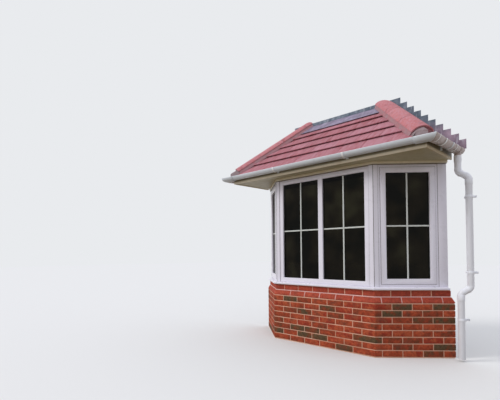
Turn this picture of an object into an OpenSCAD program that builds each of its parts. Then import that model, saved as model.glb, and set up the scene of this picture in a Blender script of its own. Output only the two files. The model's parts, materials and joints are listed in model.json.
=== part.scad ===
// Canted bay window on a brick dwarf wall, under a hipped tile roof, cut off at the house wall.
// X runs right along the house wall, Y into the house, Z up. The origin is on the ground, in the
// outer face of the house wall, on the middle line of the bay.

/* [Bay plan] */
// Length of the front run of windows between its two corners, mm
front_w = 1396; // [1300:4:1600]
// Distance that the front windows stand out from the house wall, mm
bay_depth = 580; // [540:10:640]
// Turn of each side window away from the front, degrees
cant_angle = 45; // [44:1:46]

/* [Brickwork] */
// Height of one brick course with its joint, mm
course_h = 75; // [74:1:76]
// Courses of plain brickwork below the sloped plinth course
low_courses = 8; // [6:1:9]
// Thickness of the outer brick leaf, mm
brick_t = 102.5; // [100:0.5:105]
// Distance that the top course stands out from the window face, mm
brick_out = 20; // [15:1:30]
// Step outward from the top course to the brickwork below the plinth, mm
plinth_out = 28; // [20:1:32]
// Upright part of the plinth course below its slope, mm
plinth_foot = 14; // [10:1:20]
// Width of the open cavity behind the lower brickwork, mm
cavity_w = 60; // [50:5:75]
// Thickness of the inner leaf of blocks, mm
block_t = 100; // [90:5:110]
// Height of the floor slab inside the bay, mm
slab_h = 150; // [120:10:180]

/* [Windows] */
// Height of the cill from the brickwork to the window frames, mm
cill_h = 45; // [40:1:55]
// Distance that the cill stands out from the window face, mm
cill_out = 50; // [45:1:60]
// Height of the upright nose of the cill, mm
cill_nose = 32; // [28:1:36]
// Width of the drip groove under the cill nose, mm
drip_w = 6; // [4:1:8]
// Height of the window frames, mm
frame_h = 1405; // [1300:5:1500]
// Depth of the window frames from outside to inside, mm
frame_d = 70; // [60:1:75]
// Face width of the front frame around its panes, mm
frame_face = 58; // [50:1:65]
// Width of the upright between the two front panes, mm
mullion_w = 64; // [60:1:75]
// Face width of the side frames that shows around the casements, mm
side_face = 38; // [34:1:44]
// Face width of a casement around its pane, mm
sash_face = 50; // [44:1:56]
// Distance that a casement lip laps over its frame, mm
sash_lap = 8; // [6:1:10]
// Thickness of the casement lip in front of its frame, mm
sash_lip = 8; // [6:1:10]
// Depth of a casement behind the frame face, mm
sash_d = 60; // [50:1:64]
// Free gap around a casement inside its frame, mm
sash_gap = 3; // [2:0.5:4]
// Depth of the solid lip in front of a pane, mm
pane_lip = 28; // [24:1:30]
// Thickness of a double glazed pane, mm
pane_t = 24; // [20:2:28]
// Cover of the frame over the edge of a pane, mm
pane_cover = 10; // [8:1:12]
// Free gap around a pane in its rebate, mm
pane_gap = 2; // [1:0.5:3]
// Face width of a corner post on each side of its corner, mm
post_w = 50; // [44:1:56]
// Distance that a corner post stands out from the window face, mm
post_out = 6; // [4:1:8]
// Width of the groove down the corner of a post, mm
post_groove = 6; // [4:1:8]
// Width of the jamb piece between a side frame and the house wall, mm
jamb_w = 96; // [86:2:106]
// Distance that a jamb piece stands out from the window face, mm
jamb_out = 3; // [2:0.5:4]
// Thickness of the trim above the frames, mm
head_trim_t = 14; // [10:1:18]
// Height of the trim above the frames, mm
head_trim_h = 41; // [36:1:50]
// Thickness of the inside window board, mm
board_t = 25; // [18:1:30]
// Distance that the window board runs past the inner leaf, mm
board_nose = 30; // [20:5:40]

/* [Eaves] */
// Distance from the front windows out to the front fascia, mm
eaves_front = 205; // [195:5:215]
// Distance from the ends of the side windows out to the side fascia, mm
eaves_side = 64; // [58:1:70]
// Thickness of a fascia board, mm
fascia_t = 18; // [16:1:20]
// Distance that the fascia reaches below the soffit, mm
fascia_drop = 7; // [5:1:10]
// Thickness of the soffit board, mm
soffit_t = 10; // [9:1:12]
// Distance that the lowest tiles stand out from the front fascia, mm
tile_over = 50; // [45:1:60]
// Distance that the lowest tiles stand out from a side fascia, mm
side_over = 36; // [32:1:40]

/* [Roof] */
// Slope of the front tiles, degrees
roof_pitch = 41; // [39:1:42]
// Length of the top edge of the front slope on the house wall, mm
ridge_w = 1240; // [1200:10:1280]
// Height of the upper edge of the lowest tiles over the soffit, mm
eaves_rise = 110; // [108:1:116]
// Length of the lowest tile course that shows along the front slope, mm
tile_first = 221; // [210:1:230]
// Length of each other tile course that shows along the front slope, mm
tile_gauge = 193; // [188:1:198]
// Number of steps that the tile courses make up the slope
tile_steps = 5; // [5:1:5]
// Height of the step where one tile course laps the next, mm
tile_step = 22; // [18:1:24]
// Thickness of one tile at its lower edge, mm
tile_t = 25; // [24:1:28]
// Thickness of the tiles with their battens, mm
roof_t = 45; // [40:1:50]
// Radius over the top of a hip tile, mm
hip_r = 130; // [125:1:140]
// Thickness of a hip tile, mm
hip_t = 15; // [12:1:18]
// Height of the crown of a hip tile over the meeting line of the slopes, mm
hip_crown = 50; // [46:1:54]
// Half of the width across a hip tile, mm
hip_half_w = 113; // [110:1:114]
// Number of hip tiles on each hip
hip_count = 3; // [3:1:4]
// Distance that the mortar of a hip spreads past its tiles, mm
hip_spread = 6; // [2:1:7]
// Width of the mortar joint between two hip tiles, mm
hip_joint = 8; // [6:1:12]
// Distance that the lowest hip tile stays back from the corner of the eaves, mm
hip_back = 130; // [110:2:150]
// Distance that the mortar of a hip stays back from the edges of the eaves, mm
toe_in = 4; // [2:1:10]
// Thickness of the lead flashings, mm
lead_t = 3; // [2:0.5:4]
// Height that the lead turns up the house wall, mm
lead_up = 40; // [36:1:46]
// Width of lead that lies on the tiles, mm
lead_cover = 190; // [170:5:210]
// Distance that the side flashing runs past the rim of the gutter, mm
lead_past = 16; // [12:1:20]
// Brick courses that one step of the side flashing covers
step_courses = 1; // [1:1:2]
// Height of the inner corner of each step over the tiles, mm
step_stand = 128; // [122:1:134]

/* [Roof timbers] */
// Width of a rafter or joist, mm
rafter_w = 47; // [44:1:50]
// Depth of a rafter or joist, mm
rafter_d = 97; // [90:1:100]
// Spacing of the rafters, mm
rafter_pitch = 400; // [380:10:440]
// Width of the beam over the window frames, mm
beam_w = 65; // [60:1:68]
// Height of the beam over the window frames, mm
beam_h = 220; // [210:5:230]
// Depth of the board on the house wall that carries the rafters, mm
ledger_h = 150; // [140:5:160]
// Depth of a hip rafter, mm
hip_rafter_d = 100; // [90:5:110]
// Thickness of the ceiling board, mm
ceiling_t = 12.5; // [12:0.5:15]

/* [Rainwater] */
// Outer radius of the half round gutter, mm
gutter_r = 56; // [54:1:58]
// Thickness of the gutter and the pipe, mm
gutter_t = 2.5; // [2:0.5:3]
// Height of the rim of the gutter over the soffit, mm
gutter_rise = 90; // [86:1:91]
// Gap between the gutter and the fascia, mm
gutter_gap = 16; // [14:1:20]
// Thickness of the wall of a gutter fitting, mm
fitting_t = 3; // [2.5:0.5:4]
// Length of each arm of a gutter corner piece, mm
angle_arm = 150; // [130:10:170]
// Length of gutter pushed into a fitting, mm
push_in = 50; // [40:5:60]
// Width of a gutter bracket, mm
bracket_w = 30; // [25:1:40]
// Distance of the right front bracket from the middle, mm
bracket_x = 500; // [450:10:560]
// Distance of a side bracket from the house wall, mm
bracket_y = 380; // [340:10:420]
// Height of the plate of a bracket on the fascia, mm
bracket_h = 60; // [50:5:70]
// Outer radius of the rainwater pipe, mm
pipe_r = 34; // [33:0.5:36]
// Distance of the middle of the outlet from the house wall, mm
outlet_y = 58; // [56:1:64]
// Depth of the bottom end of the outlet pipe below the rim of the gutter, mm
outlet_drop = 90; // [80:5:110]
// Distance along X from the brickwork at the house wall to the middle of the lower pipe, mm
low_pipe_side = 84; // [78:1:90]
// Distance along X from the lower pipe to the main pipe, mm
pipe_shift = 85; // [80:1:90]
// Distance of the middle of the lower pipe from the house wall, mm
low_pipe_y = 90; // [84:1:96]
// Length of the short pipe between the outlet and the upper bend, mm
short_pipe_l = 142; // [134:2:154]
// Height of the lower bend over the brickwork, mm
lower_bend_rise = 74; // [66:2:84]
// Height of the open end of the pipe over the ground, mm
pipe_end_z = 25; // [20:5:40]
// Turn of each bend away from upright, degrees
bend_angle = 57; // [54:1:62]
// Radius of the middle line of a bend, mm
bend_r = 50; // [48:1:54]
// Length of the socket at the top of a pipe, mm
socket_l = 55; // [50:5:60]
// Length of the collar where a bend meets a straight pipe, mm
collar_h = 16; // [12:1:20]
// Distance that a collar stands out from the pipe, mm
collar_t = 3; // [2:0.5:4]
// Thickness of a socket, mm
socket_t = 3; // [2.5:0.5:3.5]
// Depth of the upper clip below the top of the main pipe, mm
high_clip_drop = 188; // [170:2:210]
// Height of the middle clip over the lower bend, mm
mid_clip_rise = 142; // [124:2:164]
// Height of the clip on the lower pipe over the ground, mm
low_clip_z = 447; // [420:1:480]
// Width of a pipe clip, mm
clip_w = 24; // [20:1:30]
// Width of the back plate of a pipe clip, mm
clip_plate = 118; // [112:1:124]
// Thickness of the back plate of a pipe clip, mm
clip_plate_t = 8; // [6:1:10]

/* [Hidden] */
$fn = 64;

// Overshoot of a cutting shape past the face that it cuts.
over = 2;
// Clearance between a gutter and the fitting around it.
fit_gap = 0.5;
big = 4000;

brick_red = [0.55, 0.24, 0.17];
plinth_red = [0.60, 0.25, 0.19];
block_grey = [0.62, 0.61, 0.58];
slab_grey = [0.55, 0.54, 0.52];
white = [0.93, 0.93, 0.94];
board_cream = [0.86, 0.83, 0.76];
timber = [0.72, 0.58, 0.40];
plaster = [0.90, 0.89, 0.86];
tile_red = [0.66, 0.33, 0.31];
hip_red = [0.76, 0.44, 0.40];
lead_grey = [0.42, 0.45, 0.50];
pane_blue = [0.55, 0.65, 0.68, 0.35];

// Levels.
plinth_z = low_courses * course_h;
top_z = plinth_z + course_h;
cill_z = top_z + course_h;
frame_z = cill_z + cill_h;
head_z = frame_z + frame_h;
soffit_z = head_z + head_trim_h;
eaves_z = soffit_z + eaves_rise;
gutter_z = soffit_z + gutter_rise;
outlet_z = gutter_z - outlet_drop;
upper_bend_z = outlet_z - short_pipe_l;
lower_bend_z = cill_z + lower_bend_rise;

// Insets from the window face: minus is outside, plus is inside.
top_face = -brick_out;
low_face = -brick_out - plinth_out;
leaf_face = low_face + brick_t + cavity_w;
room_face = leaf_face + block_t;

// Half widths of the bay at an inset: at its corners, and at a distance y from the house wall.
function corner_x(inset) = front_w / 2 - inset * tan(cant_angle / 2);
function side_x(inset, y) =
    front_w / 2 + (bay_depth + y) / tan(cant_angle) - inset / sin(cant_angle);

// Side windows, measured along their outer face from the corner.
side_len = bay_depth / sin(cant_angle);
side_frame_w = side_len - post_w - jamb_w;
front_frame_w = front_w - 2 * post_w;

// Eaves and roof, measured from the house wall and the middle of the bay.
fascia_y = bay_depth + eaves_front;
fascia_x = side_x(0, 0) + eaves_side;
roof_run = fascia_y + tile_over;
eaves_x = fascia_x + side_over;
ridge_half = ridge_w / 2;
side_run = eaves_x - ridge_half;
roof_rise = roof_run * tan(roof_pitch);
side_pitch = atan(roof_rise / side_run);
wall_z = eaves_z + roof_rise;
fascia_top = eaves_z + tile_over * tan(roof_pitch) - tile_t / cos(roof_pitch);
side_fascia_top = eaves_z + side_over * tan(side_pitch) - tile_t / cos(side_pitch);
// Distance along X over which the top of the front fascia falls to the side fascia.
fascia_fall = (fascia_top - side_fascia_top) / tan(side_pitch);

// Hip: its plan direction, slope and length, and the fall of the tiles on each side of it.
hip_run = sqrt(pow(roof_run, 2) + pow(side_run, 2));
hip_turn = 180 - atan(roof_run / side_run);
hip_pitch = atan(roof_rise / hip_run);
hip_len = hip_run / cos(hip_pitch);
front_fall = side_run / roof_run * sin(hip_pitch);
side_fall = roof_run / side_run * sin(hip_pitch);
hip_step = (hip_len - hip_back) / hip_count;
// Change of X along the hip for each unit of Y.
hip_ratio = side_run / roof_run;
// Half of the width of the mortar under the hip tiles, at its foot and at its top.
hip_foot = hip_half_w + hip_spread;
hip_bed_top = hip_half_w - 2 * hip_t;
// Distance along X from the hip line to the foot of its mortar.
hip_side = hip_foot * hip_run / roof_run + over;

// Stepped lead on the wall.
step_h = step_courses * course_h;
step_run = step_h / tan(side_pitch);
lead_top = wall_z + lead_up;
step_first = (step_stand + step_h - lead_up) / tan(side_pitch);
lead_end = fascia_x + gutter_gap + 2 * gutter_r + lead_past;

// Gutter and pipe.
gutter_y = fascia_y + gutter_gap + gutter_r;
gutter_x = fascia_x + gutter_gap + gutter_r;
fitting_r = gutter_r + fit_gap;
bore_r = pipe_r - gutter_t;
low_pipe_x = side_x(low_face, 0) + low_pipe_side;
pipe_x = low_pipe_x + pipe_shift;
socket_r = pipe_r + fit_gap;

// Plan outline of the bay at an inset, closed at the distance y from the house wall.
module bay_plan(inset, y) {
    polygon([
        [-side_x(inset, y), y],
        [-corner_x(inset), inset - bay_depth],
        [corner_x(inset), inset - bay_depth],
        [side_x(inset, y), y]
    ]);
}

// Upright band that follows the bay between two insets.
module bay_ring(out, inn, z, h) {
    translate([0, 0, z])
        linear_extrude(height = h)
            difference() {
                bay_plan(out, 0);
                bay_plan(inn, over);
            }
}

// Places with x along a face, y into the bay and z up.
module on_front() {
    translate([0, -bay_depth, 0]) children();
}
module on_right() {
    translate([front_w / 2, -bay_depth, 0])
        rotate([0, 0, cant_angle])
            children();
}
module on_left() {
    mirror([1, 0, 0]) on_right() children();
}
module on_each_face() {
    on_front() children();
    on_right() children();
    on_left() children();
}

// Long bar along x of a section drawn in y and z.
module along_x(len) {
    rotate([90, 0, 90])
        linear_extrude(height = len, center = true)
            children();
}

// Removes what lies above a sloped top between two insets, on all three faces.
module slope_cut(y_low, z_low, y_high, z_high) {
    on_each_face()
        along_x(big)
            polygon([
                [y_low - over, z_low],
                [y_low, z_low],
                [y_high, z_high],
                [y_high, z_high + over],
                [y_low - over, z_high + over]
            ]);
}

module brick_low_wall() {
    color(brick_red)
        bay_ring(low_face, low_face + brick_t, 0, plinth_z);
}

module plinth_course() {
    color(plinth_red)
        difference() {
            bay_ring(low_face, low_face + brick_t, plinth_z, course_h);
            slope_cut(low_face, plinth_z + plinth_foot, top_face, top_z);
        }
}

module top_course() {
    color(brick_red)
        bay_ring(top_face, top_face + brick_t, top_z, course_h);
}

module inner_leaf() {
    color(block_grey)
        bay_ring(leaf_face, room_face, 0, frame_z - board_t);
}

module floor_slab() {
    color(slab_grey)
        linear_extrude(height = slab_h)
            bay_plan(room_face, 0);
}

module window_cill() {
    drip_in = -cill_out + drip_w + drip_w;
    color(white)
        difference() {
            bay_ring(-cill_out, frame_d, cill_z, cill_h);
            slope_cut(-cill_out, cill_z + cill_nose, -over, frame_z);
            bay_ring(drip_in - drip_w, drip_in, cill_z - over, drip_w);
            on_right() cill_end();
            on_left() cill_end();
        }
}

// Each end of the cill is cut square to the face of its side window.
module cill_end() {
    translate([side_len, -cill_out - over, cill_z - over])
        cube([cill_out * 2, cill_out + 2 * over, cill_h + 2 * over]);
}

// Through opening for one pane, with the rebate for the pane behind its lip.
module pane_hole(x, z, w, h, lip, depth) {
    edge = pane_cover + pane_gap;
    translate([x, -big / 2, z])
        cube([w, big, h]);
    translate([x - edge, lip, z - edge])
        cube([w + 2 * edge, depth - lip + over, h + 2 * edge]);
}

// Pane seated against its lip.
module pane(x, z, w, h, lip) {
    color(pane_blue)
        translate([x - pane_cover, lip, z - pane_cover])
            cube([w + 2 * pane_cover, pane_t, h + 2 * pane_cover]);
}

front_pane_w = (front_frame_w - mullion_w) / 2 - frame_face;
front_pane_h = frame_h - 2 * frame_face;
module frame_front() {
    color(white)
        on_front()
            difference() {
                translate([-front_frame_w / 2, 0, frame_z])
                    cube([front_frame_w, frame_d, frame_h]);
                pane_hole(-mullion_w / 2 - front_pane_w, frame_z + frame_face,
                    front_pane_w, front_pane_h, pane_lip, frame_d);
                pane_hole(mullion_w / 2, frame_z + frame_face,
                    front_pane_w, front_pane_h, pane_lip, frame_d);
            }
}
module pane_front_left() {
    on_front()
        pane(-mullion_w / 2 - front_pane_w, frame_z + frame_face,
            front_pane_w, front_pane_h, pane_lip);
}
module pane_front_right() {
    on_front()
        pane(mullion_w / 2, frame_z + frame_face, front_pane_w, front_pane_h, pane_lip);
}

// Side frame and its casement, drawn on the right and mirrored to the left.
module side_frame() {
    color(white)
        translate([post_w, 0, frame_z])
            difference() {
                cube([side_frame_w, frame_d, frame_h]);
                translate([side_face, -over, side_face])
                    cube([side_frame_w - 2 * side_face, frame_d + 2 * over,
                        frame_h - 2 * side_face]);
            }
}

sash_x = post_w + side_face + sash_gap;
sash_z = frame_z + side_face + sash_gap;
sash_w = side_frame_w - 2 * side_face - 2 * sash_gap;
sash_h = frame_h - 2 * side_face - 2 * sash_gap;
side_pane_x = sash_x + sash_face;
side_pane_z = sash_z + sash_face;
side_pane_w = sash_w - 2 * sash_face;
side_pane_h = sash_h - 2 * sash_face;
side_pane_lip = pane_lip - sash_lip;
module side_sash() {
    rim = sash_gap + sash_lap;
    color(white)
        difference() {
            union() {
                translate([sash_x, 0, sash_z])
                    cube([sash_w, sash_d, sash_h]);
                translate([sash_x - rim, -sash_lip, sash_z - rim])
                    cube([sash_w + 2 * rim, sash_lip, sash_h + 2 * rim]);
            }
            pane_hole(side_pane_x, side_pane_z, side_pane_w, side_pane_h,
                side_pane_lip, sash_d);
        }
}
module side_pane() {
    pane(side_pane_x, side_pane_z, side_pane_w, side_pane_h, side_pane_lip);
}
module frame_left() {
    on_left() side_frame();
}
module frame_right() {
    on_right() side_frame();
}
module sash_left() {
    on_left() side_sash();
}
module sash_right() {
    on_right() side_sash();
}
module pane_left() {
    on_left() side_pane();
}
module pane_right() {
    on_right() side_pane();
}

// Post that joins two frames at a corner of the bay, with a groove down its edge.
module corner_post() {
    c = cos(cant_angle);
    s = sin(cant_angle);
    color(white)
        translate([front_w / 2, -bay_depth, frame_z])
            difference() {
                linear_extrude(height = frame_h)
                    polygon([
                        [-post_w, -post_out],
                        [post_out * tan(cant_angle / 2), -post_out],
                        [post_w * c + post_out * s, post_w * s - post_out * c],
                        [post_w * c - frame_d * s, post_w * s + frame_d * c],
                        [-frame_d * tan(cant_angle / 2), frame_d],
                        [-post_w, frame_d]
                    ]);
                rotate([0, 0, cant_angle / 2])
                    translate([-post_groove / 2, -post_groove - post_out, -over])
                        cube([post_groove, post_groove + post_out / 2, frame_h + 2 * over]);
            }
}
module post_left() {
    mirror([1, 0, 0]) corner_post();
}
module post_right() {
    corner_post();
}

// Filling piece between a side frame and the house wall.
module wall_jamb() {
    jamb_x = post_w + side_frame_w;
    color(white)
        translate([0, 0, frame_z])
            linear_extrude(height = frame_h)
                polygon([
                    [jamb_x, -jamb_out],
                    [side_len + jamb_out / tan(cant_angle), -jamb_out],
                    [side_len - frame_d / tan(cant_angle), frame_d],
                    [jamb_x, frame_d]
                ]);
}
module jamb_left() {
    on_left() wall_jamb();
}
module jamb_right() {
    on_right() wall_jamb();
}

module head_trim() {
    color(white)
        difference() {
            bay_ring(-head_trim_t, 0, head_z, head_trim_h);
            on_each_face()
                along_x(big)
                    polygon([
                        [-head_trim_t - over, head_z - over],
                        [-head_trim_t / 2, head_z - over],
                        [-head_trim_t / 2, head_z + head_trim_t / 2],
                        [-head_trim_t - over, head_z + head_trim_t]
                    ]);
        }
}

module window_board() {
    color(white)
        bay_ring(frame_d, room_face + board_nose, frame_z - board_t, board_t);
}

module head_beam() {
    color(timber)
        bay_ring(0, beam_w, head_z, beam_h);
}

module ceiling_board() {
    color(plaster)
        translate([0, 0, head_z])
            linear_extrude(height = ceiling_t)
                bay_plan(beam_w, 0);
}

module ledger() {
    color(timber)
        translate([-ridge_half, -rafter_w, ledger_top - ledger_h])
            cube([2 * ridge_half, rafter_w, ledger_h]);
}

// The wall board stands up into the undersides of the rafters by half of their width.
rafter_drop = (roof_t + rafter_d) / cos(roof_pitch);
ledger_top = wall_z - rafter_w * tan(roof_pitch) - rafter_drop + rafter_w / 2;
// Underside of the tiles at the inner face of the front fascia and of a side fascia.
foot_z = eaves_z + (tile_over + fascia_t) * tan(roof_pitch) - roof_t / cos(roof_pitch);
side_foot_z = eaves_z + (side_over + fascia_t) * tan(side_pitch) - roof_t / cos(side_pitch);
rafter_base = soffit_z + soffit_t + rafter_w;

// One common rafter from the fascia to the house wall, in the plane x = 0.
module rafter() {
    foot = fascia_y - fascia_t;
    top = foot_z + foot * tan(roof_pitch);
    depth = rafter_d / cos(roof_pitch);
    along_x(rafter_w)
        polygon([
            [-foot, foot_z],
            [0, top],
            [0, top - depth],
            [-foot + (rafter_base - foot_z + depth) / tan(roof_pitch), rafter_base],
            [-foot, rafter_base]
        ]);
}

module rafters() {
    color(timber)
        difference() {
            union() {
                rafter();
                translate([rafter_pitch, 0, 0]) rafter();
                translate([-rafter_pitch, 0, 0]) rafter();
                side_rafter();
                mirror([1, 0, 0]) side_rafter();
            }
            head_beam();
            ledger();
        }
}

// Rafter under a side slope, against the house wall.
module side_rafter() {
    foot = fascia_x - fascia_t;
    top_x = ridge_half + rafter_w;
    top = side_foot_z + (foot - top_x) * tan(side_pitch);
    depth = rafter_d / cos(side_pitch);
    translate([0, -rafter_w / 2, 0])
        rotate([90, 0, 0])
            linear_extrude(height = rafter_w, center = true)
                polygon([
                    [foot, side_foot_z],
                    [top_x, top],
                    [top_x, top - depth],
                    [foot - (rafter_base - side_foot_z + depth) / tan(side_pitch), rafter_base],
                    [foot, rafter_base]
                ]);
}

// Place with x up along the right hip from the corner of the eaves, z out of the roof.
module on_hip() {
    translate([eaves_x, -roof_run, eaves_z])
        rotate([0, 0, hip_turn])
            rotate([0, -hip_pitch, 0])
                children();
}

module hip_rafter() {
    under = roof_t * sqrt(1 + pow(side_fall, 2)) + rafter_w / 2 * side_fall;
    start = (fascia_t + tile_over + rafter_w) * hip_len / roof_run;
    difference() {
        intersection() {
            on_hip()
                translate([start, -rafter_w / 2, -under - hip_rafter_d])
                    cube([hip_len, rafter_w, hip_rafter_d]);
            translate([-big, -big - rafter_w, 0])
                cube([2 * big, big, big]);
        }
        head_beam();
        ledger();
        rafter_row();
    }
}

module rafter_row() {
    translate([rafter_pitch, 0, 0]) rafter();
    side_rafter();
}

module hip_rafters() {
    color(timber) {
        hip_rafter();
        mirror([1, 0, 0]) hip_rafter();
    }
}

module soffit_board() {
    color(board_cream)
        translate([0, 0, soffit_z])
            linear_extrude(height = soffit_t)
                difference() {
                    translate([-fascia_x + fascia_t, -fascia_y + fascia_t])
                        square([2 * (fascia_x - fascia_t), fascia_y - fascia_t]);
                    bay_plan(-head_trim_t, over);
                }
}

fascia_z = soffit_z - fascia_drop;
module fascia_front() {
    color(board_cream)
        translate([0, -fascia_y + fascia_t, 0])
            rotate([90, 0, 0])
                linear_extrude(height = fascia_t)
                    polygon([
                        [-fascia_x, fascia_z],
                        [fascia_x, fascia_z],
                        [fascia_x, side_fascia_top],
                        [fascia_x - fascia_fall, fascia_top],
                        [fascia_fall - fascia_x, fascia_top],
                        [-fascia_x, side_fascia_top]
                    ]);
}
module fascia_side() {
    color(board_cream)
        translate([fascia_x - fascia_t, -fascia_y + fascia_t, fascia_z])
            cube([fascia_t, fascia_y - fascia_t, side_fascia_top - fascia_z]);
}
module fascia_left() {
    mirror([1, 0, 0]) fascia_side();
}
module fascia_right() {
    fascia_side();
}

// Section of the tiles: steps up the slope, drawn level and then tipped to the pitch. The courses
// of every slope rise by the same height, so that they meet along the hips.
module tile_section(pitch, tile_past) {
    stretch = sin(roof_pitch) / sin(pitch);
    top = roof_rise / sin(pitch) + roof_t;
    batten_in = (tile_past + fascia_t) / cos(pitch) + tile_t;
    rotate(pitch)
        polygon([
            [0, 0],
            for (i = [0 : tile_steps - 1])
                each [
                    [(tile_first + i * tile_gauge) * stretch, -tile_step],
                    [(tile_first + i * tile_gauge) * stretch, 0]
                ],
            [top, -tile_step],
            [top, -roof_t],
            [batten_in, -roof_t],
            [batten_in, -tile_t],
            [0, -tile_t]
        ]);
}

module roof_front() {
    out = roof_run + over;
    half = ridge_half + out * hip_ratio;
    color(tile_red)
        intersection() {
            translate([0, -roof_run, eaves_z])
                along_x(2 * half)
                    tile_section(roof_pitch, tile_over);
            linear_extrude(height = big)
                polygon([
                    [-ridge_half, 0],
                    [-half, -out],
                    [half, -out],
                    [ridge_half, 0]
                ]);
        }
}
module roof_side() {
    out = roof_run + over;
    half = ridge_half + out * hip_ratio;
    color(tile_red)
        intersection() {
            translate([eaves_x, 0, eaves_z])
                rotate([0, 0, 90])
                    along_x(2 * out)
                        tile_section(side_pitch, side_over);
            linear_extrude(height = big)
                polygon([
                    [ridge_half, 0],
                    [half, -out],
                    [half, 0]
                ]);
        }
}
module roof_left() {
    mirror([1, 0, 0]) roof_side();
}
module roof_right() {
    roof_side();
}

// Everything in front of the lead on the house wall.
module before_lead() {
    translate([-big, -big - lead_t, 0])
        cube([2 * big, big, big]);
}

// Arc of the hip tiles, in y and z across the hip.
module hip_arc(inner, outer) {
    intersection() {
        translate([0, hip_crown - hip_r])
            difference() {
                circle(outer);
                circle(inner);
            }
        translate([-hip_half_w, -hip_half_w])
            square([2 * hip_half_w, 2 * hip_half_w]);
        polygon([
            [0, hip_crown - hip_r],
            [hip_r * 2, hip_crown - hip_r + hip_r],
            [hip_r * 2, hip_r * 2],
            [-hip_r * 2, hip_r * 2],
            [-hip_r * 2, hip_crown - hip_r + hip_r]
        ]);
    }
}
hip_inner = hip_r - hip_t;

// Mortar under the hip tiles, in y and z across the hip, up to a radius.
module hip_bed(top_r) {
    intersection() {
        translate([0, hip_crown - hip_r])
            circle(top_r);
        polygon([
            [0, 0],
            [hip_foot, -hip_foot * front_fall],
            [hip_bed_top, hip_crown],
            [-hip_bed_top, hip_crown],
            [-hip_foot, -hip_foot * side_fall]
        ]);
    }
}

// Bar along x of a section in y and z, from one place to another.
module from_x(start, end) {
    translate([(start + end) / 2, 0, 0])
        along_x(end - start)
            children();
}
module hip_row() {
    top = hip_len + 2 * hip_r;
    color(hip_red)
        intersection() {
            union() {
                on_hip()
                    for (i = [0 : hip_count - 1])
                        from_x(i * hip_step + hip_back,
                            i == hip_count - 1 ? top : (i + 1) * hip_step + hip_back - hip_joint)
                            hip_arc(hip_inner, hip_r);
                intersection() {
                    on_hip()
                        difference() {
                            from_x(0, top)
                                hip_bed(hip_r - hip_t / 2);
                            from_x(-over, hip_back + hip_joint)
                                hip_arc(hip_inner - hip_joint, hip_r);
                        }
                    inside_eaves();
                }
            }
            before_lead();
        }
}

// Everything a little inside the edges of the eaves, where the mortar ends.
module inside_eaves() {
    translate([0, toe_in - roof_run, 0])
        cube([eaves_x - toe_in, roof_run, big]);
}
module hip_left() {
    mirror([1, 0, 0]) hip_row();
}
module hip_right() {
    hip_row();
}

// Sheet of lead on a slope, in y and z with its lowest point at the eaves.
module lead_section(pitch, start) {
    top = roof_rise / sin(pitch) + roof_t;
    rotate(pitch)
        translate([start, 0])
            square([top - start, lead_t]);
}

// Lead that lies on the upper tiles and turns up the house wall.
module lead_apron() {
    wide = ridge_half - hip_side;
    color(lead_grey) {
        intersection() {
            translate([0, -roof_run, eaves_z])
                along_x(2 * eaves_x)
                    lead_section(roof_pitch, roof_rise / sin(roof_pitch) - lead_cover);
            linear_extrude(height = big)
                polygon([
                    [-wide, 0],
                    [-wide - lead_cover * hip_ratio, -lead_cover],
                    [wide + lead_cover * hip_ratio, -lead_cover],
                    [wide, 0]
                ]);
        }
        translate([-wide, -lead_t, wall_z])
            cube([2 * wide, lead_t, lead_up]);
    }
}

// Lead beside a side slope: steps on the house wall, and a strip on the tiles.
function step_x(i) = ridge_half + step_first + i * step_run;
module lead_side() {
    start = ridge_half - hip_side;
    steps = ceil((lead_end - step_x(0)) / step_run);
    strip = ridge_half + hip_side;
    color(lead_grey) {
        rotate([90, 0, 0])
            linear_extrude(height = lead_t)
                intersection() {
                    polygon([
                        [start, wall_z],
                        [start, lead_top],
                        for (i = [0 : steps])
                            each [
                                [step_x(i), lead_top - i * step_h],
                                [step_x(i), lead_top - (i + 1) * step_h]
                            ],
                        [step_x(steps + 1), lead_top - (steps + 1) * step_h],
                        [step_x(steps + 1),
                            wall_z - (step_x(steps + 1) - ridge_half) * tan(side_pitch)],
                        [ridge_half, wall_z]
                    ]);
                    translate([start, gutter_z + lead_t])
                        square([lead_end - start, big]);
                }
        intersection() {
            translate([eaves_x, 0, eaves_z])
                rotate([0, 0, 90])
                    along_x(2 * eaves_x)
                        lead_section(side_pitch, 0);
            linear_extrude(height = big)
                polygon([
                    [strip, 0],
                    [strip + lead_cover * hip_ratio, -lead_cover],
                    [eaves_x + over, -lead_cover],
                    [eaves_x + over, 0]
                ]);
        }
    }
}
module lead_left() {
    mirror([1, 0, 0]) lead_side();
}
module lead_right() {
    lead_side();
}

// Half round trough: open at the top, centred on its rim.
module trough(inner, outer) {
    intersection() {
        difference() {
            circle(outer);
            circle(inner);
        }
        translate([-outer, -outer])
            square([2 * outer, outer]);
    }
}

module gutter_front() {
    color(white)
        translate([0, -gutter_y, gutter_z])
            along_x(2 * (gutter_x - angle_arm + push_in))
                trough(gutter_r - gutter_t, gutter_r);
}
module gutter_side() {
    run = gutter_y - angle_arm + push_in;
    color(white)
        translate([gutter_x, -run / 2, gutter_z])
            rotate([0, 0, 90])
                difference() {
                    along_x(run)
                        trough(0, gutter_r);
                    translate([-gutter_t, 0, 0])
                        along_x(run)
                            trough(0, gutter_r - gutter_t);
                }
}
module gutter_left() {
    mirror([1, 0, 0]) gutter_side();
}

// The right gutter is cut open over the outlet.
module gutter_right() {
    color(white)
        difference() {
            gutter_side();
            translate([gutter_x, -outlet_y, gutter_z - big])
                cylinder(r = bore_r, h = big);
        }
}

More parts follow.
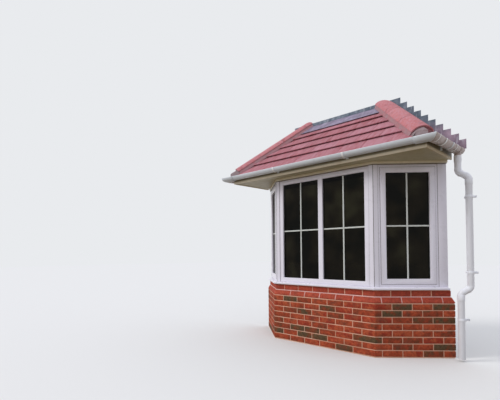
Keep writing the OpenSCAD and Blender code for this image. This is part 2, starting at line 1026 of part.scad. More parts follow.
// Corner piece of the gutter: two arms that meet at a mitre. The cutter is the half of space on
// one side of an upright plane through the corner.
module half_space(turn) {
    rotate([0, 0, turn])
        translate([-big / 2, 0, -big / 2])
            cube([big, big, big]);
}
mitre_turn = 45;
module gutter_angle() {
    reach = angle_arm + 2 * fitting_r;
    color(white)
        translate([gutter_x, -gutter_y, gutter_z])
            union() {
                difference() {
                    translate([reach / 2 - angle_arm, 0, 0])
                        along_x(reach)
                            trough(fitting_r, fitting_r + fitting_t);
                    half_space(-mitre_turn);
                }
                difference() {
                    translate([0, angle_arm - reach / 2, 0])
                        rotate([0, 0, 90])
                            along_x(reach)
                                trough(fitting_r, fitting_r + fitting_t);
                    half_space(180 - mitre_turn);
                }
            }
}
module gutter_angle_left() {
    mirror([1, 0, 0]) gutter_angle();
}
module gutter_angle_right() {
    gutter_angle();
}

// Bracket under the gutter, with its plate on the fascia.
module bracket() {
    along_x(bracket_w)
        trough(fitting_r, fitting_r + fitting_t);
    translate([-bracket_w / 2, fitting_r, -bracket_h])
        cube([bracket_w, gutter_r + gutter_gap - fitting_r, bracket_h]);
}
module side_bracket() {
    translate([gutter_x, -bracket_y, gutter_z])
        rotate([0, 0, 90])
            bracket();
}
module gutter_brackets() {
    color(white) {
        translate([bracket_x, -gutter_y, gutter_z]) bracket();
        translate([-bracket_x, -gutter_y, gutter_z]) bracket();
        side_bracket();
        mirror([1, 0, 0]) side_bracket();
    }
}

// Fitting under the end of the right gutter, with the outlet pipe.
module gutter_outlet() {
    sleeve = 2 * outlet_y;
    color(white)
        translate([gutter_x, -outlet_y, 0])
            difference() {
                union() {
                    translate([0, 0, gutter_z])
                        rotate([0, 0, 90])
                            along_x(sleeve)
                                trough(0, fitting_r + fitting_t);
                    translate([0, 0, outlet_z])
                        cylinder(r = pipe_r, h = gutter_z - outlet_z - gutter_r);
                }
                translate([0, 0, gutter_z])
                    rotate([0, 0, 90])
                        along_x(sleeve + over)
                            circle(fitting_r);
                translate([0, 0, outlet_z - over])
                    cylinder(r = bore_r, h = gutter_z - outlet_z);
            }
}

// Pipe that hangs down from the origin.
module tube(r, t, h) {
    translate([0, 0, -h])
        difference() {
            cylinder(r = r, h = h);
            translate([0, 0, -over])
                cylinder(r = r - t, h = h + 2 * over);
        }
}
module bend_arc() {
    rotate_extrude(angle = bend_angle)
        translate([bend_r, 0])
            difference() {
                circle(pipe_r);
                circle(bore_r);
            }
}

// Collar around a pipe, centred on the origin.
module collar() {
    translate([0, 0, -collar_h / 2])
        difference() {
            cylinder(r = pipe_r + collar_t, h = collar_h);
            translate([0, 0, -over])
                cylinder(r = pipe_r - gutter_t / 2, h = collar_h + 2 * over);
        }
}

// Two bends with a straight between them, from the origin down and over to x = shift. A collar
// holds each bend on the straight, with a small gap between the ends inside it.
joint_gap = 1;
function bend_slant(shift) = (shift - 2 * bend_r * (1 - cos(bend_angle))) / sin(bend_angle);
function bend_fall(shift) =
    2 * bend_r * sin(bend_angle) + bend_slant(shift) * cos(bend_angle);
module offset_bend(shift) {
    slant = bend_slant(shift);
    translate([bend_r, 0, 0])
        rotate([90, 0, 0])
            rotate([0, 0, 180])
                bend_arc();
    translate([bend_r * (1 - cos(bend_angle)), 0, -bend_r * sin(bend_angle)])
        rotate([0, -bend_angle, 0]) {
            translate([0, 0, -joint_gap])
                tube(pipe_r, gutter_t, slant - 2 * joint_gap);
            collar();
            translate([0, 0, -slant])
                collar();
        }
    translate([shift - bend_r, 0, -bend_fall(shift)])
        rotate([90, 0, 0])
            bend_arc();
}

upper_shift = pipe_x - gutter_x;
lower_shift = sqrt(pow(pipe_x - low_pipe_x, 2) + pow(low_pipe_y - outlet_y, 2));
lower_turn = 180 + atan((low_pipe_y - outlet_y) / (pipe_x - low_pipe_x));
main_top = upper_bend_z - bend_fall(upper_shift);
low_top = lower_bend_z - bend_fall(lower_shift);

// Upper bend, with the short pipe up to the outlet and a socket around the joint.
module pipe_bend_upper() {
    color(white)
        translate([gutter_x, -outlet_y, upper_bend_z]) {
            offset_bend(upper_shift);
            translate([0, 0, collar_h / 4])
                collar();
            translate([0, 0, short_pipe_l])
                tube(pipe_r, gutter_t, short_pipe_l - joint_gap);
            translate([0, 0, short_pipe_l])
                socket();
        }
}

// Main pipe down the wall, with a socket around the end of the bend.
module pipe_main() {
    color(white)
        translate([pipe_x, -outlet_y, main_top]) {
            tube(pipe_r, gutter_t, main_top - lower_bend_z);
            socket();
        }
}
module socket() {
    difference() {
        translate([0, 0, -socket_l])
            cylinder(r = socket_r + socket_t, h = socket_l + socket_l / 4);
        translate([0, 0, -socket_l - over])
            cylinder(r = pipe_r, h = socket_l + over);
        cylinder(r = socket_r, h = socket_l);
    }
}

module pipe_bend_lower() {
    color(white)
        translate([pipe_x, -outlet_y, lower_bend_z])
            rotate([0, 0, lower_turn])
                offset_bend(lower_shift);
}

module pipe_low() {
    color(white)
        translate([low_pipe_x, -low_pipe_y, low_top]) {
            tube(pipe_r, gutter_t, low_top - pipe_end_z);
            socket();
        }
}

// Clip: a ring around the pipe, and a plate on the house wall.
module clip(from_wall) {
    difference() {
        union() {
            cylinder(r = socket_r + socket_t, h = clip_w, center = true);
            translate([-socket_r, 0, -clip_w / 2])
                cube([2 * socket_r, from_wall, clip_w]);
            translate([-clip_plate / 2, from_wall - clip_plate_t, -clip_w / 2])
                cube([clip_plate, clip_plate_t, clip_w]);
        }
        cylinder(r = socket_r, h = big, center = true);
    }
}
module pipe_clips() {
    color(white) {
        translate([pipe_x, -outlet_y, main_top - high_clip_drop]) clip(outlet_y);
        translate([pipe_x, -outlet_y, lower_bend_z + mid_clip_rise]) clip(outlet_y);
        translate([low_pipe_x, -low_pipe_y, low_clip_z]) clip(low_pipe_y);
    }
}

brick_low_wall();
plinth_course();
top_course();
inner_leaf();
floor_slab();
window_cill();
frame_front();
frame_left();
frame_right();
sash_left();
sash_right();
pane_front_left();
pane_front_right();
pane_left();
pane_right();
post_left();
post_right();
jamb_left();
jamb_right();
head_trim();
window_board();
head_beam();
ceiling_board();
ledger();
rafters();
hip_rafters();
soffit_board();
fascia_front();
fascia_left();
fascia_right();
roof_front();
roof_left();
roof_right();
hip_left();
hip_right();
lead_apron();
lead_left();
lead_right();
gutter_front();
gutter_left();
gutter_right();
gutter_angle_left();
gutter_angle_right();
gutter_brackets();
gutter_outlet();
pipe_bend_upper();
pipe_main();
pipe_bend_lower();
pipe_low();
pipe_clips();
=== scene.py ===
# %% [markdown]
# # A canted bay window on a brick dwarf wall
#
# The bay has three faces: a wide front one and two that are splayed back at 45 degrees. From the
# bottom up it is a brick dwarf wall with one sloped course, a white plastic cill, white window
# frames, a boarded eaves with gutters, and a hipped tile roof with lead along its top and sides. It
# is cut off flat at its back. The construction model gives the true shape and place of every part,
# in metres, with X along the back, Y inward and Z up. This lesson dresses that model: it lays real
# bricks and tiles, softens hard edges, adds the small parts and makes the finishes.

# %% Load the construction model and keep its box
import json
import math
import random

import bmesh
import bpy
from mathutils import Matrix, Vector

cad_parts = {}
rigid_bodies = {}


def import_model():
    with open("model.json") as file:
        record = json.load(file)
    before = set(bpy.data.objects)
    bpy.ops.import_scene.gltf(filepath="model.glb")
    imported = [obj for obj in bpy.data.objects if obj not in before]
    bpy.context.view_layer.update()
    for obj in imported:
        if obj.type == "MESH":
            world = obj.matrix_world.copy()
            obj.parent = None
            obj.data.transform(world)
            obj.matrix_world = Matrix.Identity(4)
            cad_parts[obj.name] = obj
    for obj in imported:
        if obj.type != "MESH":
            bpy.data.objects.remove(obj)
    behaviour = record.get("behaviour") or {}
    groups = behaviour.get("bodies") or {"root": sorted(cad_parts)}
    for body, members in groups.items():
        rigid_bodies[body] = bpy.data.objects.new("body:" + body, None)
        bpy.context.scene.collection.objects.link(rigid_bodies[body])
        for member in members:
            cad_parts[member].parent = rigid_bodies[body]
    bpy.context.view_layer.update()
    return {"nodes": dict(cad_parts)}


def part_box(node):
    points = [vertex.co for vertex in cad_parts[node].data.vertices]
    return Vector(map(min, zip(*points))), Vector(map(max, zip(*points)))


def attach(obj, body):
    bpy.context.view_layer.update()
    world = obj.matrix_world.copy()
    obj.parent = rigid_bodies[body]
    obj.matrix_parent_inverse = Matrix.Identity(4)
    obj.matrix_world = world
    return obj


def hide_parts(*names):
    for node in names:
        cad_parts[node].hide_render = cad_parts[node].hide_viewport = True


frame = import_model()
parts = frame["nodes"]

# %% [markdown]
# ## The camera
#
# The picture is taken from the right of the bay with the camera turned well to the left, so the
# front face is seen at a slant and the right splayed face almost square on. A camera can be placed
# by eye, or worked out from corners whose true distances are known. The second way was used here,
# so its place and turn are plain numbers. The small shift stands for the trimming of the picture.

# %% Place the camera
yaw, pitch, roll = 0.8343, 0.0226, -0.0053
ahead = Vector((-math.sin(yaw) * math.cos(pitch), math.cos(yaw) * math.cos(pitch), math.sin(pitch)))
level_right = Vector((math.cos(yaw), math.sin(yaw), 0.0))
level_up = level_right.cross(ahead)
right = level_right * math.cos(roll) + level_up * math.sin(roll)
above = level_up * math.cos(roll) - level_right * math.sin(roll)

bpy.ops.object.camera_add(location=(2.7254, -4.9105, 1.1741))
camera = bpy.context.object
camera.rotation_euler = Matrix((right, above, -ahead)).transposed().to_euler()
camera.data.lens = 27.64
camera.data.shift_x = 0.0737
camera.data.shift_y = 0.0921
bpy.context.scene.camera = camera
print("camera looks", [round(v, 3) for v in ahead])

# %% [markdown]
# ## Light and floor
#
# On a bright day without hard sun the sky lights everything, and one side is a little stronger.
# A big soft sun lamp from the front left does the strong side, and the world does the sky. White
# plastic must not burn out, so the level is set for a colour to come out about as it is written.
# The floor and the distance look pale to the camera, in the gloss and through the panes, while
# for the soft light the floor is a plain grey, as it would be outdoors, so that the boards under
# the eaves stay in shade.

# %% Light the scene
def colour(red, green, blue):
    """A colour as the eye reads it, from 0 to 255, turned into the linear one of a shader."""
    def linear(value):
        value /= 255.0
        return value / 12.92 if value <= 0.04045 else ((value + 0.055) / 1.055) ** 2.4
    return (linear(red), linear(green), linear(blue), 1.0)


def two_faced(tree, kind, soft, seen, surface):
    """Gives soft light one colour, and shows the camera, a gloss or a pane another."""
    tree.nodes.clear()
    path = tree.nodes.new("ShaderNodeLightPath")
    total = path.outputs["Is Camera Ray"]
    for name in ("Is Glossy Ray", "Is Transmission Ray"):
        either = tree.nodes.new("ShaderNodeMath")
        either.operation = "MAXIMUM"
        tree.links.new(total, either.inputs[0])
        tree.links.new(path.outputs[name], either.inputs[1])
        total = either.outputs[0]
    which = tree.nodes.new("ShaderNodeMixShader")
    tree.links.new(total, which.inputs[0])
    faces = [tree.nodes.new(kind) for _ in (soft, seen)]
    for face, tint, socket in zip(faces, (soft, seen), (1, 2)):
        face.inputs["Color"].default_value = tint
        tree.links.new(face.outputs[0], which.inputs[socket])
    tree.links.new(which.outputs[0], tree.nodes.new(surface).inputs["Surface"])
    return faces


bpy.ops.object.light_add(type="SUN", rotation=(math.radians(56), 0, math.radians(-36)))
sun = bpy.context.object
sun.data.energy = 1.12
sun.data.angle = math.radians(18)
sun.data.color = (1.0, 0.97, 0.92)

world = bpy.data.worlds.new("sky")
bpy.context.scene.world = world
world.use_nodes = True
soft_sky, pale_sky = two_faced(world.node_tree, "ShaderNodeBackground", (0.91, 0.93, 1.0, 1.0),
                               colour(233, 235, 238), "ShaderNodeOutputWorld")
soft_sky.inputs["Strength"].default_value = 0.90
bpy.context.scene.view_settings.view_transform = "Standard"
print("sun", round(sun.data.energy, 2), "sky", round(soft_sky.inputs["Strength"].default_value, 2))

# %% Lay the floor
bpy.ops.mesh.primitive_plane_add(size=80, location=(0, 0, 0))
floor = bpy.context.object
floor.name = "floor"
floor_paint = bpy.data.materials.new("floor_paint")
floor_paint.use_nodes = True
two_faced(floor_paint.node_tree, "ShaderNodeBsdfDiffuse", colour(128, 116, 98),
          colour(232, 232, 231), "ShaderNodeOutputMaterial")
floor.data.materials.append(floor_paint)
print("floor laid")

# %% [markdown]
# ## Hands for the mesh work
#
# The same few moves come back in every step: take a box primitive at its true size, go into edit
# mode with nothing selected, choose faces or edges by where they are, cut with a plane, thicken a
# sheet, round the edges, and put copies together. They are written once here. Everything is
# deselected first, because an operator acts on all that is selected and the construction model
# comes in selected.

# %% Selecting, starting and joining
def only(*objects):
    """Selects these objects and nothing else."""
    bpy.ops.object.select_all(action="DESELECT")
    for thing in objects:
        thing.select_set(True)
    bpy.context.view_layer.objects.active = objects[0]


def start_box(name, low, high):
    """A box primitive between two corners, with its place in its mesh."""
    bpy.ops.object.select_all(action="DESELECT")
    low, high = Vector(low), Vector(high)
    bpy.ops.mesh.primitive_cube_add(size=1, location=(low + high) / 2, scale=high - low)
    box = bpy.context.object
    box.name = name
    bpy.ops.object.transform_apply(location=True, rotation=True, scale=True)
    return box


def start_tube(radius, length, centre, turn=0, vertices=48):
    """An open cylinder primitive that lies along x, or along y after a quarter turn."""
    bpy.ops.object.select_all(action="DESELECT")
    bpy.ops.mesh.primitive_cylinder_add(vertices=vertices, radius=radius, depth=length,
                                        end_fill_type="NOTHING",
                                        rotation=(0, math.radians(90), turn), location=centre)
    bpy.ops.object.transform_apply(location=True, rotation=True, scale=True)
    return bpy.context.object


def pick(thing, kind, test):
    """In edit mode, selects the verts, edges or faces for which test(centre, normal) holds."""
    bpy.ops.mesh.select_mode(type=kind)
    bpy.ops.mesh.select_all(action="DESELECT")
    mesh = bmesh.from_edit_mesh(thing.data)
    count = 0
    for item in {"VERT": mesh.verts, "EDGE": mesh.edges, "FACE": mesh.faces}[kind]:
        if kind == "VERT":
            hit = test(item.co, item.normal)
        elif kind == "EDGE":
            hit = test((item.verts[0].co + item.verts[1].co) / 2,
                       (item.verts[1].co - item.verts[0].co).normalized())
        else:
            hit = test(item.calc_center_median(), item.normal)
        if hit:
            item.select_set(True)
            count += 1
    mesh.select_flush_mode()
    bmesh.update_edit_mesh(thing.data)
    return count


def edit(thing, action="DESELECT"):
    """Opens a piece in edit mode, with nothing selected, or with everything for SELECT."""
    only(thing)
    bpy.ops.object.mode_set(mode="EDIT")
    bpy.ops.mesh.select_all(action=action)


def done():
    bpy.ops.object.mode_set(mode="OBJECT")


def twin(thing, name=None):
    """A copy with its own mesh."""
    copy = thing.copy()
    copy.data = thing.data.copy()
    copy.name = name or thing.name
    bpy.context.scene.collection.objects.link(copy)
    return copy


def cut(thing, point, normal, drop, cap=False):
    """Cuts with a plane. drop is 'outer', the side the normal points to, or 'inner'."""
    edit(thing, "SELECT")
    bpy.ops.mesh.bisect(plane_co=point, plane_no=normal, use_fill=cap,
                        clear_outer=drop == "outer", clear_inner=drop == "inner")
    done()


def put_together(name, things):
    things = list(things)
    only(*things)
    if len(things) > 1:
        bpy.ops.object.join()
    whole = bpy.context.view_layer.objects.active
    whole.name = name
    return whole


def turn_about(thing, angle, centre):
    """Turns the mesh about the upright through centre, anticlockwise from above."""
    before = Vector(thing.data.vertices[0].co)
    edit(thing, "SELECT")
    bpy.ops.transform.rotate(value=-angle, orient_axis="Z", orient_type="GLOBAL",
                             center_override=centre)
    done()
    wanted = Matrix.Rotation(angle, 3, "Z") @ (before - Vector(centre)) + Vector(centre)
    if (Vector(thing.data.vertices[0].co) - wanted).length > 1e-4:
        raise RuntimeError("the turn went wrong")


def move(thing, x, y, z):
    edit(thing, "SELECT")
    bpy.ops.transform.translate(value=(x, y, z))
    done()


def thicken(thing, thickness, offset):
    """Gives an open sheet a wall, outward where offset is 1 and inward where it is -1."""
    wall = thing.modifiers.new("wall", "SOLIDIFY")
    wall.thickness = thickness
    wall.offset = offset
    only(thing)
    bpy.ops.object.modifier_apply(modifier=wall.name)


def round_edges(thing, width, segments, degrees):
    """Bevels each edge where the faces turn by more than this angle."""
    rounding = thing.modifiers.new("rounding", "BEVEL")
    rounding.width = width
    rounding.segments = segments
    rounding.limit_method = "ANGLE"
    rounding.angle_limit = math.radians(degrees)
    only(thing)
    bpy.ops.object.modifier_apply(modifier=rounding.name)


def smooth(thing, degrees):
    only(thing)
    bpy.ops.object.shade_smooth_by_angle(angle=math.radians(degrees))


def coat(thing, *finishes):
    thing.data.materials.clear()
    for finish in finishes:
        thing.data.materials.append(finish)


def hand_over(piece, finishes, slot, *stands_for):
    """Gives the finished piece its materials, its body and the parts that it stands for."""
    piece.data.name = piece.name
    if finishes:
        coat(piece, *finishes)
    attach(piece, "root")
    if stands_for:
        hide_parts(*stands_for)
    print(f"{piece.name}: {len(piece.data.polygons)} faces for {list(stands_for)}")
    return piece


# %% [markdown]
# ## A bench for finishes
#
# Each finish is one Principled shader that is fed by patterns. The patterns read the piece's own
# coordinates in metres, so a speck of sand is the same size on every brick and nothing slides
# when the view moves. The class only shortens the wiring: noise, a colour ramp, a mix, a bump.

# %% The finish class
class Finish:
    """A material of one Principled shader, with short ways to wire patterns into it."""
    def __init__(self, name, roughness=0.5, metallic=0.0, specular=0.5):
        self.material = bpy.data.materials.new(name)
        self.material.use_nodes = True
        self.tree = self.material.node_tree
        self.tree.nodes.clear()
        self.shader = self.add("ShaderNodeBsdfPrincipled")
        surface = self.add("ShaderNodeOutputMaterial")
        self.join(self.shader.outputs["BSDF"], surface.inputs["Surface"])
        self.shader.inputs["Roughness"].default_value = roughness
        self.shader.inputs["Metallic"].default_value = metallic
        self.shader.inputs["Specular IOR Level"].default_value = specular
        self.place = self.add("ShaderNodeTexCoord").outputs["Object"]

    def add(self, kind):
        return self.tree.nodes.new(kind)

    def join(self, source, target):
        self.tree.links.new(source, target)

    def feed(self, sockets, values):
        """Gives each socket its value, which is another node's socket or a plain value."""
        for socket, value in zip(sockets, values):
            if isinstance(value, bpy.types.NodeSocket):
                self.join(value, socket)
            else:
                socket.default_value = value

    def stretched(self, x, y, z):
        mapping = self.add("ShaderNodeMapping")
        mapping.inputs["Scale"].default_value = (x, y, z)
        self.join(self.place, mapping.inputs["Vector"])
        return mapping.outputs["Vector"]

    def along(self, axis):
        """How far a point lies along X, Y or Z."""
        split = self.add("ShaderNodeSeparateXYZ")
        self.join(self.place, split.inputs[0])
        return split.outputs[axis]

    def noise(self, size, detail=3.0, place=None):
        """A cloudy pattern whose lumps are about size metres across."""
        pattern = self.add("ShaderNodeTexNoise")
        pattern.inputs["Scale"].default_value = 1.0 / size
        pattern.inputs["Detail"].default_value = detail
        self.join(place or self.place, pattern.inputs["Vector"])
        return pattern.outputs["Fac"]

    def tone(self):
        attribute = self.add("ShaderNodeAttribute")
        attribute.attribute_name = "tone"
        return attribute.outputs["Fac"]

    def ramp(self, value, *stops):
        band = self.add("ShaderNodeValToRGB")
        while len(band.color_ramp.elements) < len(stops):
            band.color_ramp.elements.new(0.5)
        for element, (at, shade) in zip(band.color_ramp.elements, stops):
            element.position = at
            element.color = shade if len(shade) == 4 else (*shade, 1.0)
        self.join(value, band.inputs["Fac"])
        return band.outputs["Color"]

    def level(self, value, low, high, to_low=0.0, to_high=1.0):
        """Stretches part of a pattern's range to a new range, and holds it there."""
        stretch = self.add("ShaderNodeMapRange")
        stretch.inputs["From Min"].default_value = low
        stretch.inputs["From Max"].default_value = high
        stretch.inputs["To Min"].default_value = to_low
        stretch.inputs["To Max"].default_value = to_high
        self.join(value, stretch.inputs["Value"])
        return stretch.outputs["Result"]

    def mix(self, amount, first, second):
        """Mixes two colours. amount, first and second are sockets, or plain values."""
        node = self.add("ShaderNodeMix")
        node.data_type = "RGBA"
        self.feed((node.inputs["Factor"], node.inputs[6], node.inputs[7]),
                  (amount, first, second))
        return node.outputs[2]

    def sum(self, first, second):
        node = self.add("ShaderNodeMath")
        self.feed(node.inputs, (first, second))
        return node.outputs[0]

    def bump(self, height, depth, strength=1.0, under=None):
        """Relief whose highest and lowest points are depth metres apart."""
        node = self.add("ShaderNodeBump")
        node.inputs["Distance"].default_value = depth
        node.inputs["Strength"].default_value = strength
        self.join(height, node.inputs["Height"])
        if under:
            self.join(under, node.inputs["Normal"])
        return node.outputs["Normal"]

    def finish(self, base, rough=None, relief=None):
        self.join(base, self.shader.inputs["Base Color"])
        if rough:
            self.join(rough, self.shader.inputs["Roughness"])
        if relief:
            self.join(relief, self.shader.inputs["Normal"])
        return self.material


print("bench ready")

# %% [markdown]
# ## Brick, mortar and special bricks
#
# The bricks are a red multi: most are orange red, some are plum brown and a few were over-fired
# to a grey green. One colour for all would look like wallpaper, so each brick carries a number,
# its tone, and the finish reads it to choose the firing. Inside a brick the sand coat gives fine
# specks and the kiln gives cloudy smudges. The plinth bricks are special shapes from another
# batch, smoother and redder. Mortar is a sandy buff with a weathered skin.

# %% Finishes for the brickwork
def brick_finish(name, stops, sand, smoke):
    clay = Finish(name, roughness=0.9, specular=0.25)
    patch = clay.level(clay.noise(0.060, 4.0), 0.34, 0.66, -0.26, 0.22)
    fired = clay.ramp(clay.sum(clay.tone(), patch), *stops)
    cloud = clay.level(clay.noise(0.022, 4.0), 0.3, 0.72, 0.70, 1.20)
    shade = clay.add("ShaderNodeVectorMath")
    shade.operation = "SCALE"
    clay.join(fired, shade.inputs[0])
    clay.join(cloud, shade.inputs["Scale"])
    smudge = clay.level(clay.noise(0.10, 3.0), 0.54, 0.70, 0.0, smoke)
    smoked = clay.mix(smudge, shade.outputs[0], colour(88, 62, 50))
    specks = clay.level(clay.noise(0.0028, 2.0), 0.62, 0.72, 0.0, 0.5)
    sanded = clay.mix(specks, smoked, colour(188, 128, 98))
    # Dark pits: painted shade in the small holes of the sand face.
    pit_shade = clay.level(clay.noise(0.0045, 3.0), 0.30, 0.40, 0.55, 0.0)
    coloured = clay.mix(pit_shade, sanded, colour(70, 38, 30))
    grain = clay.noise(0.003, 4.0)
    waves = clay.noise(0.03, 3.0)
    relief = clay.bump(grain, 0.0012 * sand, 0.9, clay.bump(waves, 0.004 * sand, 0.7))
    rough = clay.level(grain, 0.3, 0.7, 0.82, 0.97)
    return clay.finish(coloured, rough, relief)


brick_clay = brick_finish("multi_red_brick", (
    (0.00, colour(92, 74, 52)),
    (0.10, colour(108, 74, 48)),
    (0.24, colour(128, 66, 42)),
    (0.42, colour(150, 66, 42)),
    (0.60, colour(170, 72, 44)),
    (0.80, colour(184, 88, 56)),
    (1.00, colour(160, 60, 40))), 1.0, 0.5)
plinth_clay = brick_finish("plinth_red_brick", (
    (0.00, colour(158, 66, 50)),
    (0.50, colour(174, 72, 54)),
    (1.00, colour(184, 84, 62))), 0.55, 0.25)

lime = Finish("buff_mortar", roughness=0.95, specular=0.2)
sandy = lime.ramp(lime.noise(0.0022, 3.0), (0.30, colour(202, 156, 132)),
                  (0.55, colour(234, 186, 160)), (0.75, colour(244, 208, 186)))
damp = lime.mix(lime.level(lime.noise(0.25, 3.0), 0.45, 0.65, 0.0, 0.5), sandy,
                colour(188, 144, 116))
mortar = lime.finish(damp, relief=lime.bump(lime.noise(0.0025, 4.0), 0.0015, 1.0,
                                            lime.bump(lime.noise(0.02, 2.0), 0.003, 0.6)))
pale_lime = Finish("pale_plinth_mortar", roughness=0.95, specular=0.2)
pale_sand = pale_lime.ramp(pale_lime.noise(0.0022, 3.0), (0.30, colour(206, 160, 150)),
                           (0.70, colour(238, 206, 202)))
pale_mortar = pale_lime.finish(pale_sand, relief=pale_lime.bump(pale_lime.noise(0.0025, 4.0),
                                                                0.0015, 1.0))
print("brick finishes ready")

# %% [markdown]
# ## Laying the brick courses
#
# The dwarf wall is ten courses of stretchers that alternate by half a brick. At each corner one
# long special brick goes round the bend with no joint on the edge. Modelling each bent brick
# apart would be slow. A folded strip of card shows a better way: lay the whole wall flat, take it
# three times, cut each copy on the mitre planes and turn the outer two. The bent bricks come out
# of the cut by themselves, and merging the doubles closes them. The first course lies on a bed of
# mortar, so all courses stand a little higher than the bands of the construction model.

# %% Measures of the brickwork
BEND = math.radians(45)
WINDOW_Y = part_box("frame_front")[0].y
LOW_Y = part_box("brick_low_wall")[0].y
TOP_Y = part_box("top_course")[0].y
PLINTH_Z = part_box("plinth_course")[0].z
TOP_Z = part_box("top_course")[0].z
CILL_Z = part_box("top_course")[1].z
COURSE = TOP_Z - PLINTH_Z
BRICK = Vector((0.215, 0.1025, 0.065))
JOINT = 0.010
BED = 0.013
MORTAR_BACK = 0.0035
PAST_BACK = 0.12
HALF_FRONT = 0.698


def corner_at(outer_y):
    """Half the distance between the two corners of a face that stands at outer_y."""
    return HALF_FRONT + (WINDOW_Y - outer_y) * math.tan(BEND / 2)


def flat_reach(outer_y):
    """Half the length of the flat wall, which runs on past the back of the bay and is cut there."""
    return corner_at(outer_y) - outer_y / math.sin(BEND) + PAST_BACK


# Upright joints: from the middle of the front face, and from the corner along the side face.
half_brick_rows = ([0.1125, 0.3375, 0.5625], [0.195, 0.420, 0.645])
whole_brick_rows = ([0.0, 0.225, 0.450], [0.0825, 0.3075, 0.5325, 0.7575])
print("corners at", round(corner_at(LOW_Y), 4), round(corner_at(TOP_Y), 4))


# %% One brick, and rows of copies of it
def make_brick(profile=None):
    """A brick with its outer face at y = 0. profile moves verts to make a special shape."""
    brick = start_box("brick", (0, 0, 0), BRICK)
    edit(brick)
    if profile:
        profile(brick)
    pick(brick, "EDGE", lambda centre, run: True)
    bpy.ops.mesh.bevel(offset=0.0032, segments=2, affect="EDGES", profile=0.6)
    done()
    return brick


def mark_tone(thing, value):
    layer = thing.data.attributes.new("tone", "FLOAT", "POINT")
    layer.data.foreach_set("value", [value] * len(thing.data.vertices))


def lay_brick(model, start, end, z, luck, dark_share):
    """A copy of the model brick from start to end of the flat wall.

    dark_share is the share of over-fired bricks, whose tone is low.
    """
    brick = twin(model)
    extra = (end - start) - BRICK.x
    lift, out = luck.uniform(-0.0008, 0.0008), luck.uniform(-0.0008, 0.0012)
    for vert in brick.data.vertices:
        if vert.co.x > BRICK.x / 2:
            vert.co.x += extra
        vert.co += Vector((start, out, z + lift))
    tone = luck.uniform(0.04, 0.18) if luck.random() < dark_share else luck.uniform(0.34, 1.0)
    mark_tone(brick, tone)
    return brick


def lay_course(model, z, joints_front, joints_side, outer_y, luck, dark_share):
    """One course of the flat wall: every brick lies between two upright joints."""
    start_side = corner_at(outer_y) - (outer_y - LOW_Y) * math.tan(BEND / 2)
    right_side = {*joints_front, *(start_side + past for past in joints_side), flat_reach(outer_y)}
    marks = sorted({-mark for mark in right_side} | right_side)
    row = []
    for first, second in zip(marks, marks[1:]):
        row.append(lay_brick(model, first + JOINT / 2, second - JOINT / 2, z, luck, dark_share))
    return row


plain_brick = make_brick()
print("one plain brick has", len(plain_brick.data.polygons), "faces")


# %% Folding the flat wall round the two corners
def fold(flat, outer_y, name, back=0.0):
    """Turns a flat wall, x along and outer face at y = 0, into the three faces of the bay.

    back is the y at which the folded wall is cut off behind.
    """
    corner = corner_at(outer_y)
    half = BEND / 2
    front, right_leaf, left_leaf = flat, twin(flat), twin(flat)
    slant = Vector((math.cos(half), math.sin(half), 0))
    cut(front, (corner, 0, 0), slant, "outer")
    cut(front, (-corner, 0, 0), (-slant.x, slant.y, 0), "outer")
    cut(right_leaf, (corner, 0, 0), (slant.x, -slant.y, 0), "inner")
    cut(left_leaf, (-corner, 0, 0), (-slant.x, -slant.y, 0), "inner")
    turn_about(right_leaf, BEND, (corner, 0, 0))
    turn_about(left_leaf, -BEND, (-corner, 0, 0))
    whole = put_together(name, (front, right_leaf, left_leaf))
    move(whole, 0, outer_y, 0)
    edit(whole, "SELECT")
    bpy.ops.mesh.remove_doubles(threshold=0.0003)
    bpy.ops.mesh.bisect(plane_co=(0, back, 0), plane_no=(0, 1, 0), use_fill=True, clear_outer=True)
    done()
    return whole


def mortar_core(low_z, high_z, outer_y, profile=None):
    """The mortar of a stretch of wall: one core, a little behind the faces of the bricks."""
    reach = flat_reach(outer_y)
    core = start_box("mortar", (-reach, MORTAR_BACK, low_z),
                     (reach, BRICK.y - MORTAR_BACK, high_z))
    edit(core)
    if profile:
        profile(core)
    bpy.ops.mesh.select_all(action="SELECT")
    bpy.ops.mesh.subdivide(number_cuts=2)
    done()
    mark_tone(core, 0.5)
    return core


def build_wall(name, bricks, core, outer_y, clay, bedding, stands_for):
    """Folds the bricks and their mortar apart, so that each is cut off cleanly at the back."""
    flat = put_together(name, bricks)
    coat(flat, clay)
    coat(core, bedding)
    wall = put_together(name, (fold(flat, outer_y, name), fold(core, outer_y, name, -0.002)))
    smooth(wall, 40)
    hand_over(wall, None, "brick", stands_for)


# %% The eight lower courses
luck = random.Random(7)
low_bricks = []
for index in range(round(PLINTH_Z / COURSE)):
    joints = half_brick_rows if index % 2 else whole_brick_rows
    low_bricks += lay_course(plain_brick, index * COURSE + BED, *joints, LOW_Y, luck, 0.10)
print(len(low_bricks), "bricks laid")
build_wall("dwarf_wall_bricks", low_bricks, mortar_core(0, PLINTH_Z + BED, LOW_Y), LOW_Y,
           brick_clay, mortar, "brick_low_wall")

# %% [markdown]
# ## The sloped course and the course under the cill
#
# The ninth course is of plinth stretchers: a short upright foot, then a slope that carries rain
# off the thicker wall below. It is a plain brick whose upper front edge is pushed back. The tenth
# course stands on its inner part, straight under the window cill.

# %% Plinth bricks and the top course
SLOPE_BACK = TOP_Y - LOW_Y
FOOT = 0.014


def slope_front(low_z, high_z, inset=0.0):
    """An edit-mode move that turns the upper part of the front face into the slope."""
    def profile(thing):
        bpy.ops.mesh.select_all(action="SELECT")
        bpy.ops.mesh.bisect(plane_co=(0, 0, low_z + FOOT), plane_no=(0, 0, 1))
        back = SLOPE_BACK * (high_z - low_z - FOOT) / (COURSE - FOOT)
        pick(thing, "VERT", lambda at, normal: at.y < inset + 0.001 and at.z > high_z - 0.001)
        bpy.ops.transform.translate(value=(0, back, 0))
    return profile


